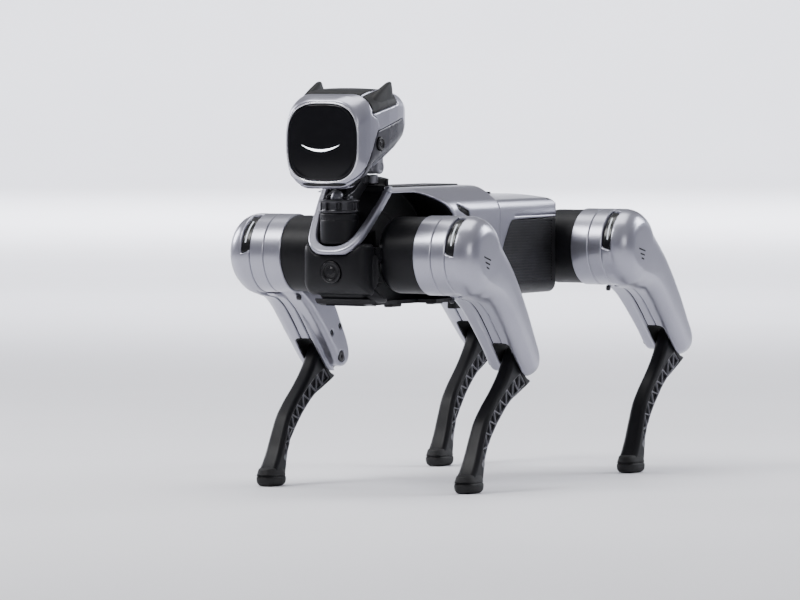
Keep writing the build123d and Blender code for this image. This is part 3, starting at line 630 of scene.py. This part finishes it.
# ---------------------------------------------------------------- trunk
TOP_SEC = [(-85, 296), (-85, 394), (-80, 405), (-50, 427), (50, 427), (80, 405), (85, 394), (85, 296), (62, 265), (-62, 265)]
TOP_R = [10, 10, 10, 20, 20, 10, 10, 10, 16, 16]
WING = [(-30, 376), (-26, 372), (-17, 346), (-3, 332), (14, 318), (34, 304), (60, 300), (92, 302), (112, 318), (124, 345), (340, 300), (360, 340), (360, 480), (-60, 480), (-60, 376)]


def well(g, grow=0.0, y0=24.0):
    x = np.minimum(g.X - 212, 0)
    e = (np.sqrt((x / (100 + grow)) ** 2 + ((g.Z - 334) / (86.5 + grow)) ** 2) - 1) * 92
    return np.maximum(e, y0 - np.abs(g.Y))


def slant(g):
    """height above the slanted plane of the neck opening"""
    ux, uz = 262 - 342.0, 431 - 344.0
    L = math.hypot(ux, uz)
    nx, nz = uz / L, -ux / L
    return (g.X - 342) * nx + (g.Z - 344) * nz


def slope(g):
    ux, uz = 262 - 342.0, 431 - 344.0
    L = math.hypot(ux, uz)
    return (g.X - 342) * ux / L + (g.Z - 344) * uz / L


g = Grid((-10, -88, 262), (348, 88, 432), 1.5)
env = g.cross(round_poly(TOP_SEC, TOP_R))
top = np.maximum(env, -env - 2.8)
top = np.maximum(top, g.side(round_poly(WING, 8)))
top = np.maximum(top, np.maximum(-5.7 - g.X, g.X - 300))
sl = slant(g)
top = np.maximum(top, sl)
top = cut(top, well(g, 0, 47), 0.6)
neck_hole = np.maximum(np.abs(g.Y) - 46, 257 - g.X)
top = cut(top, neck_hole)
top = cut(top, boxd(g, 10, 232, -30, 30, 425.7, 440, 0))
# raised rim round the wheel wells, running into the collar
wl = well(g, 0, 47)
rim_w = np.maximum(np.maximum(np.abs(wl - 1.7) - 1.7, np.abs(env + 0.9) - 2.2), np.maximum(np.maximum(sl, 47.5 - np.abs(g.Y)), 330 - g.Z))
top = join(top, rim_w, 1.2)
vent = meet(np.abs((g.Z - 392.6) - (g.X - 101) * 0.36) - 5.0, np.abs(g.X - 101) - 17, 4)
top = cut(top, np.maximum(vent, 60 - np.abs(g.Y)), 0.5)
piece("top_cover.look", g, top, SILVER, "trunk", ["top_cover"])
# black body behind the cover: the wheel wells' inside walls
core = env + 3.6
core = np.maximum(core, np.maximum(4 - g.X, g.X - 304))
core = np.maximum(core, sl + 9.6)
core = cut(core, well(g, 1.0), 2.0)
core = cut(core, np.maximum(np.hypot(g.X - 240, g.Z - 333) - 59, 22 - np.abs(g.Y)))     # the drums swing in as they roll
core = np.maximum(core, -(g.Z - 292) * 1.0 + np.where(g.X > 112, 0, -100))
core = cut(core, boxd(g, 250, 420, -200, 200, 200, 366))
core = cut(core, boxd(g, 300, 420, -200, 200, 200, 380))
core = np.maximum(core, np.where(g.X < 112, np.maximum(264 - g.Z, 376 - g.Z), -100))
piece("hip_well_liner.look", g, core, INNER, "trunk", ["hip_well_liner", "chassis_frame"])
# vent insert
g2 = Grid((70, -88, 376), (130, 88, 416), 1.2)
env2 = g2.cross(round_poly(TOP_SEC, TOP_R))
v2 = meet(np.abs((g2.Z - 392.6) - (g2.X - 101) * 0.36) - 4.8, np.abs(g2.X - 101) - 16.7, 4)
ins = np.maximum(np.maximum(env2 + 1.1, -env2 - 4), np.maximum(v2, 60 - np.abs(g2.Y)))
fins = np.abs(((g2.X * 0.9) % 5.0) - 2.5) - 0.8
ins = cut(ins, np.maximum(-fins, -env2 - 2.6))
piece("shoulder_vents", g2, ins, GLOSS, "trunk")

# rear top cover
REAR_SEC = [(-85, 296), (-85, 394), (-80.5, 405), (-40, 411.5), (40, 411.5), (80.5, 405), (85, 394), (85, 296), (62, 265), (-62, 265)]
REAR_R = [10, 8, 7, 20, 20, 7, 8, 10, 16, 16]
g = Grid((-200, -88, 318), (-4, 88, 416), 1.4)
envr = g.cross(round_poly(REAR_SEC, REAR_R))
SIDE = [(-6.5, 470), (-6.5, 300), (-8, 318), (-16, 338), (-28, 356), (-36, 368), (-44, 375.8), (-56, 376.4), (-183, 377.6), (-190.5, 379.5), (-193, 386), (-187, 395.5), (-176, 403.2), (-162, 409), (-146, 416), (-146, 470)]
side_cut = g.side(round_poly(SIDE, [0, 0, 8, 12, 12, 8, 7, 10, 5, 4, 5, 8, 10, 12, 10, 0]))
plan = g.plan(round_poly([(-195, -62), (-195, 62), (-186, 86), (20, 90), (20, -90), (-186, -86)], [22, 22, 20, 1, 1, 20]))
rc2 = np.maximum(meet(plan, envr, 2), side_cut)
hollow = np.maximum(np.maximum(plan + 3.2, envr + 3.2), side_cut - 30)
rc = cut(rc2, np.maximum(hollow, g.Z - 500))
# light rim along the skirt
rim = np.maximum(np.abs(g.Z - 381.2) - 0.8, -envr - 1.0)
rc = cut(rc, np.maximum(rim, g.X + 52))
rc = cut(rc, rod(g, (-120, 0, 380), (-120, 0, 430), 8.6), 0.8)
piece("rear_top_cover.look", g, rc, SILVER, "trunk", ["rear_top_cover"])

# collar trim, following the slanted opening
OH = [(0, -8.2), (10, -7.8), (20, -5.2), (29.5, 0.6), (37, 9.5), (42.3, 21.5), (46, 39), (49.4, 62), (52.4, 84), (55, 112)]
IH = [(0, 5.4), (9, 5.8), (17, 9), (24, 15.5), (29.5, 26), (33.5, 41), (37.6, 61), (41.8, 84), (45.2, 112)]


def u_field(g, pts, extend):
    full = [(-a, b) for a, b in reversed(pts[1:])] + pts
    full = spline_open(full, 5)
    top = [(full[-1][0], extend), (full[0][0], extend)]
    poly = np.vstack([full, top])
    return outline_at(np.broadcast_to(g.Y, g.X.shape), slope(g), poly)


def outline_at(px, py, pts):
    return outline(px, py, pts)


g = Grid((250, -60, 330), (356, 60, 432), 1.2)
sl = slant(g)
outer = u_field(g, OH, 130)
inner = u_field(g, IH, 130)
crown = 2.2 - ((outer - (-inner)) * 0.0)
band = meet(np.maximum(outer, -inner), sl - 0.6, 3.2)
col = np.maximum(band, -sl - 9.0)
col = np.maximum(col, 335.0 - g.Z)
col = np.maximum(col, 257.6 - g.X)
col = np.maximum(col, g.Z - 429.5)
envc = g.cross(round_poly(TOP_SEC, TOP_R))
piece("collar_trim.look", g, col, SILVER, "trunk", ["collar_trim"])

# chest
g = Grid((240, -70, 261), (344, 70, 352), 1.3)
side = g.side(round_poly([(286, 350), (330, 350), (338.5, 336), (340.5, 322), (338, 306), (330, 291), (316, 280.5), (300, 276), (286, 276)], [1, 8, 12, 16, 16, 16, 14, 3, 1]))
plan = g.plan(round_poly([(286, -51), (318, -51), (330, -47.5), (338.5, -36), (340.8, -18), (340.8, 18), (338.5, 36), (330, 47.5), (318, 51), (286, 51)], [1, 10, 14, 18, 20, 20, 18, 14, 10, 1]))
d = meet(side, plan, 6)
side2 = g.side(round_poly([(286, 340), (302, 340), (309, 328), (310, 302), (304, 284), (286, 276)], [1, 8, 8, 12, 8, 1]))
d2 = meet(side2, np.abs(g.Y) - 60, 9)
for z in (302, 307, 312):
    d2 = cut(d2, np.maximum(np.abs(g.Z - z) - 0.9, np.maximum(308 - g.X, np.abs(np.abs(g.Y) - 55) - 2.5)))
d = join(d, d2, 2.0)
d = np.maximum(d, 304.6 - g.X)
keel = meet(g.side(round_poly([(240, 290), (302, 290), (310, 282), (304, 272), (286, 265.5), (240, 264)], [1, 4, 5, 8, 10, 1])), np.abs(g.Y) - 39, 9)
keel = cut(keel, np.maximum(np.hypot(g.X - 240, g.Z - 333) - 61, 24.5 - np.abs(g.Y)))
d = np.minimum(d, np.maximum(keel, 242 - g.X))
d = cut(d, rod(g, (332, 0, 311), (360, 0, 311), 16.2, 0), 0.8)
# the collar and the slanted opening are cleared
slc = slant(g)
uo = u_field(g, OH, 130)
d = cut(d, np.maximum(uo - 0.7, -slc - 10.5), 0.6)
d = np.maximum(d, slc - 3.0)
piece("chest_panel.look", g, d, BLACK, "trunk", ["chest_panel"])
g = Grid((329, -18, 293), (343, 18, 329), 0.7)
R = np.sqrt(g.Y ** 2 + (g.Z - 311) ** 2)
ring = meet(R - 15.6, g.X - 339.6, 1.4)
ring = np.maximum(ring, 331 - g.X)
ring = cut(ring, np.maximum(R - 11.2, 337.0 - g.X), 0.8)
ring = np.minimum(ring, meet(R - 6.2, np.maximum(330 - g.X, g.X - 338.6), 1.5))
piece("chest_sensor.look", g, ring, GLOSS, "trunk", ["chest_sensor"])

# tail housing
g = Grid((-332, -87, 296), (-156, 87, 412), 1.5)
prof = g.side(round_poly([(-300, 298), (-318, 306), (-326, 322), (-328, 345), (-325, 362), (-314, 376), (-296, 382), (-215, 385), (-208, 392), (-196, 401), (-181, 405), (-181, 372), (-298, 368)], [6, 12, 12, 14, 14, 12, 14, 8, 8, 10, 2, 2, 6]))
d = meet(prof, np.abs(g.Y) - 40.5, 7)
d = cut(d, meet(np.abs(g.Y) - 24, np.maximum(np.abs(g.Z - 342) - 8, g.X + 322), 4), 0.8)
cap = g.side(round_poly([(-164, 382), (-186, 382), (-189.6, 384), (-189.8, 388), (-184, 394.5), (-175, 400.5), (-164, 405.5), (-158, 403)], [1, 3, 4, 6, 8, 8, 3, 1]))
cap = meet(cap, g.plan(round_poly([(-191, -62), (-191, 62), (-183, 81), (-150, 81), (-150, -81), (-183, -81)], [22, 22, 18, 1, 1, 18])), 2)
d = cut(d, np.maximum(np.hypot(g.X + 240, g.Z - 333) - 60, 22 - np.abs(g.Y)), 1.0)
d = np.minimum(d, cap)
piece("tail_housing.look", g, d, BLACK, "trunk", ["tail_housing"])
g = Grid((-330, -26, 330), (-316, 26, 354), 0.8)
d = meet(np.abs(g.Y) - 22.5, np.maximum(np.abs(g.Z - 342) - 6.8, slab(g.X, -324.2, -318)), 1.2)
piece("tail_light", g, d, GLASS, "trunk")

for n, m in (("mid_housing", RIBBED), ("belly_pan", BLACK), ("belly_pads", RUBBER), ("top_inlay", INNER), ("power_button", GLOSS), ("battery_pack", GREY),
             ("main_computer", BOARD), ("chassis_frame", ALU), ("roll_actuators", DARKMETAL), ("neck_pitch_axle", STEEL)):
    nodes[n].data.materials.clear()
    nodes[n].data.materials.append(m)

# ---------------------------------------------------------------- neck
YX, PX, PZ = 313.0, 262.0, 457.0
g = Grid((232, -52, 338), (346, 52, 450), 1.2)
sl = slant(g)
inner = u_field(g, IH, 130)
floor = np.maximum(np.maximum(inner + 0.4, slab(sl, -9.5, -6.2)), 257.8 - g.X)
floor = cut(floor, boxd(g, 200, 304.6, -60, 60, 300, 356))
R = np.sqrt((g.X - YX) ** 2 + g.Y ** 2)
motor = meet(R - 27, np.maximum(350 - g.Z, g.Z - 393), 1.6)
motor = cut(motor, np.maximum(np.abs(g.Z - 384) - 0.7, 26.0 - R))
motor = cut(motor, boxd(g, 200, 304.6, -70, 70, 330, 373))
guard = meet(R - 76, np.maximum(70.2 - R, np.maximum(427.3 - g.Z, g.Z - 446 + np.abs(g.Y) * 0.12)), 1.6)
guard = np.maximum(guard, np.maximum(g.X - 263, np.abs(g.Y) - 46))
plate = np.maximum(np.maximum(R - 76, 427.3 - g.Z), np.maximum(g.Z - 430.3, np.maximum(g.X - 262, np.abs(g.Y) - 44)))
riser = boxd(g, 257.6, 262, -40, 40, 416, 430)
d = np.minimum(np.minimum(floor, motor), np.minimum(np.minimum(guard, plate), riser))
d = cut(d, np.maximum(R - 28.8, 393.1 - g.Z))
d = np.maximum(d, 341.5 - g.Z)
d = cut(d, np.maximum(np.maximum(u_field(g, OH, 130), -inner), slab(sl, -9.3, 4)))
piece("neck_base.look", g, d, BLACK, "trunk", ["neck_base"])

g = Grid((246, -34, 391), (345, 34, 469), 0.95)
R = np.sqrt((g.X - YX) ** 2 + g.Y ** 2)
t = meet(R - 28, slab(g.Z, 393.5, 397), 0.6)
t = np.minimum(t, R - 22.5 + np.where((g.Z > 395) & (g.Z < 410), 0, 100))
t = np.minimum(t, meet(R - 28, slab(g.Z, 408, 411.6), 0.8))
for ang in (-60, -25, 10, 45, 100, 140, 180, 220, 260):
    a = math.radians(ang)
    u = (g.X - YX) * math.cos(a) + g.Y * math.sin(a)
    v = -(g.X - YX) * math.sin(a) + g.Y * math.cos(a)
    t = np.minimum(t, np.maximum(np.abs(u - 23.5) - 3.4, np.maximum(np.abs(v) - 4.6, slab(g.Z, 396, 409))))
arm = g.side(round_poly([(322, 410.5), (290, 410.5), (262, 431.8), (252, 434), (251, 445.4), (272, 445.4), (300, 425), (322, 417)], 3))
t = np.minimum(t, meet(arm, np.abs(np.abs(g.Y) - 14) - 3.5, 1.0))
t = np.minimum(t, boxd(g, 251, 277, -22, 22, 433.5, 445, 2))
piece("neck_turret.look", g, t, DARKMETAL, "neck", ["neck_turret"])
dome = np.minimum(rod(g, (319, 0, 411.6), (319, 0, 416), 9.5, 0.6), ball(g, (319, 0, 415.6), 8.8))
dome = np.minimum(dome, rod(g, (311, 15, 411.6), (311, 15, 417), 5, 1))
dome = np.minimum(dome, rod(g, (311, -15, 411.6), (311, -15, 417), 5, 1))
lug = np.minimum(rod(g, (PX, -12, PZ), (PX, 12, PZ), 9, 1), boxd(g, 253, 271, -12, 12, 443, PZ, 1))
cups = np.minimum(rod(g, (259, 24, 433.4), (259, 24, 445.8), 7, 1.5), rod(g, (259, -24, 433.4), (259, -24, 445.8), 7, 1.5))
piece("neck_joint_pieces", g, np.minimum(dome, np.minimum(lug, cups)), SMALLGREY, "neck")
g = Grid((248, -41, 444), (277, 41, 488), 0.95)
y = np.abs(g.Y)
yk = np.maximum(rod(g, (PX, -38, PZ), (PX, 38, PZ), 10.2, 1.6), 12.5 - y)
yk = np.minimum(yk, meet(boxd(g, PX - 8, PX + 10, -38, 38, PZ, 486, 2), 12.5 - y, 1))
yk = cut(yk, np.maximum(np.abs(y - 30) - 0.8, -(np.hypot(g.X - PX, g.Z - PZ) - 9.0)))
yk = cut(yk, np.maximum(np.hypot(g.X - PX, g.Z - PZ) - 6.0, 36.8 - y))
piece("head_yoke.look", g, yk, SMALLGREY, "head", ["head_yoke"])

# ---------------------------------------------------------------- head
HXS = [222, 228, 240, 262, 290, 315, 330, 340, 348, 356, 362.5]
HW = [54, 58, 62, 65, 67, 66.5, 66, 65, 63, 59.5, 56]
HZ0 = [505, 497, 488, 477, 464, 452, 443, 433, 427, 430, 437]
HZ1 = [551, 556, 560.5, 565, 566, 563.5, 560.5, 558.5, 557, 554, 551]
HR = [18, 20, 22, 24, 27, 30, 32, 35, 37, 38, 38]


def head_field(g):
    x = g.ax[0]
    w, z0, z1, r = [np.interp(x, HXS, v)[:, None, None] for v in (HW, HZ0, HZ1, HR)]
    k = np.ones(5) / 5
    qy = np.abs(g.Y) - (w - r)
    qz = np.abs(g.Z - (z0 + z1) / 2) - ((z1 - z0) / 2 - r)
    d = hyp(qy, qz) + np.minimum(np.maximum(qy, qz), 0) - r
    return d * 0.93


g = Grid((218, -71, 420), (367, 71, 572), 1.25)
H = head_field(g)
H = meet(H, 222.0 - g.X, 5)
H = meet(H, g.X - 362.6, 2.5)
seam = g.side([(334, 640), (334, 530), (323, 526), (317, 512), (321, 507), (357, 440), (357, 380), (460, 380), (460, 640)])
front = np.maximum(H, seam)
SCR = [(math.copysign(abs(math.cos(t)) ** (2 / 2.95), math.cos(t)) * 55.8, 492 + math.copysign(abs(math.sin(t)) ** (2 / 2.95), math.sin(t)) * 54.6) for t in np.linspace(0, 2 * math.pi, 97)[:-1]]
scr = g.cross(SCR)
bez = cut(front, np.maximum(scr, 356.8 - g.X), 1.4)
chin = meet(np.abs(g.Y) - 44.5, np.abs(g.Z - 429.6) - 6.6 + np.abs(g.Y) * 0.03, 4)
bez = cut(bez, np.maximum(chin, -(H + 1.6)), 0.5)
hollow = np.maximum(H + 3.4, g.X - 356)
bez = cut(bez, hollow)
piece("head_bezel.look", g, bez, SILVER, "head", ["head_bezel"])
piece("chin_sensor_bar.look", g, np.maximum(np.maximum(chin + 0.4, H + 0.5), np.maximum(-H - 5, 335 - g.X)), INNER, "head", ["chin_sensor_bar"])

back = np.maximum(H, -(seam - 0.9))
ay = np.abs(g.Y)
# dark band round each ear, and the black roof between them
quad = g.side([(349, 551), (336, 531), (261, 545), (257, 556), (257, 620), (349, 620)])
quad = np.maximum(quad, 46 - ay)
roofz = np.maximum(np.abs(g.X - 296) - 52, ay - 45.0)
roof = np.maximum(roofz, 540 - g.Z)
panel_xz = round_poly([(322, 508), (285, 517), (244, 526), (236, 522), (234.5, 506), (243, 496), (262, 484), (300, 466), (338, 449), (352, 440), (345, 462), (333, 498)], [6, 10, 6, 5, 8, 5, 6, 6, 4, 1, 4, 8])
pan = np.maximum(g.side(panel_xz), 40 - ay)
shell = cut(back, np.maximum(quad, -(H + 2.2)), 0.6)
shell = cut(shell, np.maximum(roof, -(H + 2.2)), 0.6)
shell = cut(shell, np.maximum(pan, -(H + 2.6)), 0.7)
visor = g.side(round_poly([(243, 505), (228, 507), (215, 500), (215, 470), (262, 470), (300, 455), (352, 430), (352, 441), (300, 463), (262, 480)], 3))
under = visor
shell = cut(shell, np.maximum(under, -(H + 2.2)), 0.6)
shell = cut(shell, np.maximum(hollow, g.X - 352))
piece("head_rear_shell.look", g, shell, SILVER, "head", ["head_rear_shell"])
lid = np.maximum(np.minimum(quad + 0.7, roof + 0.7), np.maximum(H + 0.5, -H - 5))
dome_h = H - 1.6 * np.clip(1 - ((g.X - 292) / 56) ** 2, 0, 1) * np.clip(1 - (ay / 48) ** 2, 0, 1)
lid = np.minimum(lid, np.maximum(np.maximum(roof + 0.7, dome_h), -H - 5))
lid = np.maximum(lid, -(seam - 1.0))
piece("head_top_cover.look", g, lid, INNER, "head", ["head_top_cover"])
side_p = np.maximum(np.maximum(pan + 0.8, H - 0.2), -H - 5)
side_p = np.maximum(side_p, -(seam - 1.0))
vent_s = g.side([(338, 450), (290, 479), (272, 487), (261, 482), (298, 460), (338, 438)])
side_p = cut(side_p, np.maximum(vent_s + 0.8, -(H + 1.6)), 0.4)
side_p = cut(side_p, np.maximum(np.hypot(g.X - 315, g.Z - 490) - 10.0, 50 - ay), 0.6)
piece("head_side_panels.look", g, side_p, GREY, "head", ["head_side_panels"])
strip = np.maximum(np.maximum(np.maximum(vent_s + 1.3, pan + 1.4), np.maximum(H + 0.8, -H - 5)), -(seam - 1.4))
piece("side_strips", g, np.maximum(strip, 24 - ay), INNER, "head")
dark = np.maximum(np.maximum(under + 0.7, H + 0.8), -H - 5.5)
slat = np.maximum(np.maximum(vent_s + 1.4, H + 0.7), -H - 4.5)
slat = np.maximum(slat, 40 - ay)
piece("head_under_shell", g, np.maximum(np.minimum(dark, slat), -(seam - 1.2)), INNER, "head")

# screen
g = Grid((353.5, -58, 435), (366.5, 58, 549), 1.0)
scr = g.cross(SCR)
dist = np.sqrt((g.Y / 55.2) ** 2 + ((g.Z - 492) / 54.2) ** 2)
face = 361.4 + 2.6 * np.clip(1 - dist ** 2, 0, 1)
d = meet(scr + 0.9, g.X - face, 2.0)
d = np.maximum(d, 355 - g.X)
piece("head_screen.look", g, d, GLASS, "head", ["head_screen"])
g = Grid((359, -37, 474), (367, 36, 493), 0.5)
ym = g.Y + 2.4
zc = 480.8 + (ym / 31.5) ** 2 * 8.4
th = 1.5 * np.clip(1 - (np.abs(ym) / 31.5) ** 1.6, 0, 1) + 0.12
fx_ = 361.4 + 2.6 * np.clip(1 - (g.Y / 55.2) ** 2 - ((g.Z - 492) / 54.2) ** 2, 0, 1)
smile = np.maximum(np.maximum(np.abs(g.Z - zc) - th, np.abs(ym) - 31.2), np.abs(g.X - fx_ + 0.2) - 0.65)
piece("screen_light", g, smile, LIGHT, "head")

g = Grid((359, -61, 433), (365, 61, 551), 0.75)
edge = g.cross(SCR)
rim = np.hypot(edge - 1.0, g.X - 361.85) - 1.25
piece("screen_rim", g, rim, RIM, "head")

# side rings, ears
g = Grid((300, 56, 475), (330, 72, 505), 0.7)
R = np.hypot(g.X - 315, g.Z - 490)
ring = meet(R - 9.2, g.Y - 69.4, 1.2)
ring = cut(ring, np.maximum(R - 6.6, 67.6 - g.Y), 0.6)
ring = np.minimum(ring, meet(R - 3.6, g.Y - 68.9, 1.2))
ring = np.maximum(ring, 58 - g.Y)
V, Q = solidify(ring, g)
a = add_mesh("side_camera_left.look", V, Q, GLOSS, "head", ["head_side_cameras"])
b = add_mesh("side_camera_right.look", V, Q, GLOSS, "head", ["head_side_cameras"], mirror=True)

g = Grid((246, 34, 522), (348, 70, 580), 0.95)
t = np.clip((g.Z - 530) / (577 - 530), 0, 1)
x_front = 344 - 72 * t ** 1.55
x_back = 259 + 9.5 * t ** 2
cx, rx = (x_front + x_back) / 2, np.maximum((x_front - x_back) / 2, 1.0) + 1.6
cy = 51.5 + 4.9 * t
ry = 12.0 * (1 - t) ** 0.75 + 2.0
e = (np.sqrt(((g.X - cx) / rx) ** 2 + ((g.Y - cy) / ry) ** 2) - 1) * np.minimum(rx, ry)
e = meet(e, g.Z - 576.7, 2.2)
Hh = head_field(g)
e = np.maximum(e, -Hh - 3.5)
e = np.maximum(e, -(g.side([(334, 640), (334, 530), (323, 526), (317, 512), (321, 507), (357, 440), (357, 380), (460, 380), (460, 640)]) - 1.2))
V, Q = solidify(e, g)
a = add_mesh("ear_left.look", V, Q, INNER, "head", ["ears"])
b = add_mesh("ear_right.look", V, Q, INNER, "head", ["ears"], mirror=True)

# ---------------------------------------------------------------- bevels on the CAD pieces that stay
for n, o in nodes.items():
    if o.hide_render:
        continue
    for p in o.data.polygons:
        p.use_smooth = True
    bm = o.modifiers.new("edge", "BEVEL")
    bm.width = 0.0006
    bm.segments = 2
    bm.limit_method = "ANGLE"
    bm.angle_limit = math.radians(35)
    bm.harden_normals = True

# ---------------------------------------------------------------- floor, lights, camera
def floor_piece():
    # a round studio floor that curves up far outside every viewpoint, the same all the way round
    me = bpy.data.meshes.new("floor")
    prof = [(1.2, 0.0), (3.0, 0.0), (6.0, 0.0), (10.5, 0.0), (16.0, 0.0), (20.0, 0.0)] + [(20.0 + 4.0 * math.sin(a), 4.0 - 4.0 * math.cos(a)) for a in np.linspace(0.12, math.pi / 2, 14)] + [(24.0, 5.0)]
    m = 96
    V, Fq = [(0.0, 0.0, -0.0003)], []
    for r, z in prof:
        for j in range(m):
            t = 2 * math.pi * j / m
            V.append((r * math.cos(t), r * math.sin(t), z - 0.0003))
    for j in range(m):
        Fq.append((0, 1 + j, 1 + (j + 1) % m))
    for i in range(len(prof) - 1):
        for j in range(m):
            k = (j + 1) % m
            Fq.append((1 + i * m + j, 1 + (i + 1) * m + j, 1 + (i + 1) * m + k, 1 + i * m + k))
    me.from_pydata(V, [], Fq)
    me.update()
    for p in me.polygons:
        p.use_smooth = True
    ob = bpy.data.objects.new("floor", me)
    bpy.context.scene.collection.objects.link(ob)
    ob.data.materials.append(material("floor", (0.80, 0.80, 0.83), 0.60, grain=300, grain_bump=0.02, mottle=0.015, rough_var=0.05, broad=1.2))


floor_piece()
world = bpy.data.worlds.new("studio")
world.use_nodes = True
bpy.context.scene.world = world
wt = world.node_tree
bg = wt.nodes["Background"]
bg.inputs["Strength"].default_value = 0.50
gc = wt.nodes.new("ShaderNodeTexCoord")
sp = wt.nodes.new("ShaderNodeSeparateXYZ")
rp = wt.nodes.new("ShaderNodeValToRGB")
wt.links.new(gc.outputs["Generated"], sp.inputs[0])
wt.links.new(sp.outputs["Z"], rp.inputs["Fac"])
wt.links.new(rp.outputs["Color"], bg.inputs["Color"])
els = rp.color_ramp.elements
els[0].position, els[0].color = 0.0, (0.34, 0.34, 0.39, 1)
els[1].position, els[1].color = 0.75, (0.95, 0.95, 1.0, 1)
mid_el = els.new(0.18)
mid_el.color = (0.42, 0.42, 0.48, 1)


def area(name, loc, target, size, power, colour=(1, 1, 1), size_y=None):
    l = bpy.data.lights.new(name, "AREA")
    l.energy = power
    l.color = colour
    l.shape = "RECTANGLE"
    l.size = size
    l.size_y = size_y or size
    o = bpy.data.objects.new(name, l)
    bpy.context.scene.collection.objects.link(o)
    o.location = loc
    o.rotation_euler = (Vector(target) - Vector(loc)).to_track_quat("-Z", "Y").to_euler()
    return o


ctr = (0.0, 0.0, 0.3)
AZ, EL, D, FPX, TX, TZ = 118.87, 2.24, 9.0944, 6297.83, -0.06642, 0.26019
a, e = math.radians(AZ), math.radians(EL)
back = Vector((math.sin(a) * math.cos(e), -math.cos(a) * math.cos(e), math.sin(e)))
right = (-back).cross(Vector((0, 0, 1))).normalized()
up = Vector((0, 0, 1))
area("key", Vector(ctr) + back * 1.3 - right * 2.3 + up * 2.7, ctr, 1.5, 105)
area("rim_right", Vector(ctr) - back * 1.3 + right * 2.6 + up * 1.5, ctr, 1.2, 62, (0.92, 0.94, 1.0))
area("rim_left", Vector(ctr) - back * 1.5 - right * 2.6 + up * 1.2, ctr, 1.0, 55, (0.94, 0.94, 1.0))
area("top", Vector(ctr) + up * 3.0 - back * 0.4, ctr, 2.4, 80)
area("fill", Vector(ctr) + back * 4.0 + right * 2.4 + up * 1.2, ctr, 1.6, 26)

area("backdrop", Vector(ctr) - back * 5.6 + up * 4.6, Vector(ctr) - back * 10.6 + up * 0.2, 6.0, 1050, (0.93, 0.94, 1.0), 2.0)
area("backdrop_far", Vector(ctr) - back * 13.0 + up * 6.5, Vector(ctr) - back * 20.5 + up * 0.4, 9.0, 3400, (0.93, 0.94, 1.0), 3.0)

cam_data = bpy.data.cameras.new("camera")
cam = bpy.data.objects.new("camera", cam_data)
bpy.context.scene.collection.objects.link(cam)
pos = Vector((SX / 1000, 0, TZ)) + right * TX + back * D
cam.location = pos
fwd = -back
cup = right.cross(fwd)
cam.matrix_world = Matrix.Translation(pos) @ Matrix((right, cup, back)).transposed().to_4x4()
cam_data.sensor_width = 36.0
cam_data.lens = FPX / 800 * 36.0
cam_data.clip_end = 60
bpy.context.scene.camera = cam
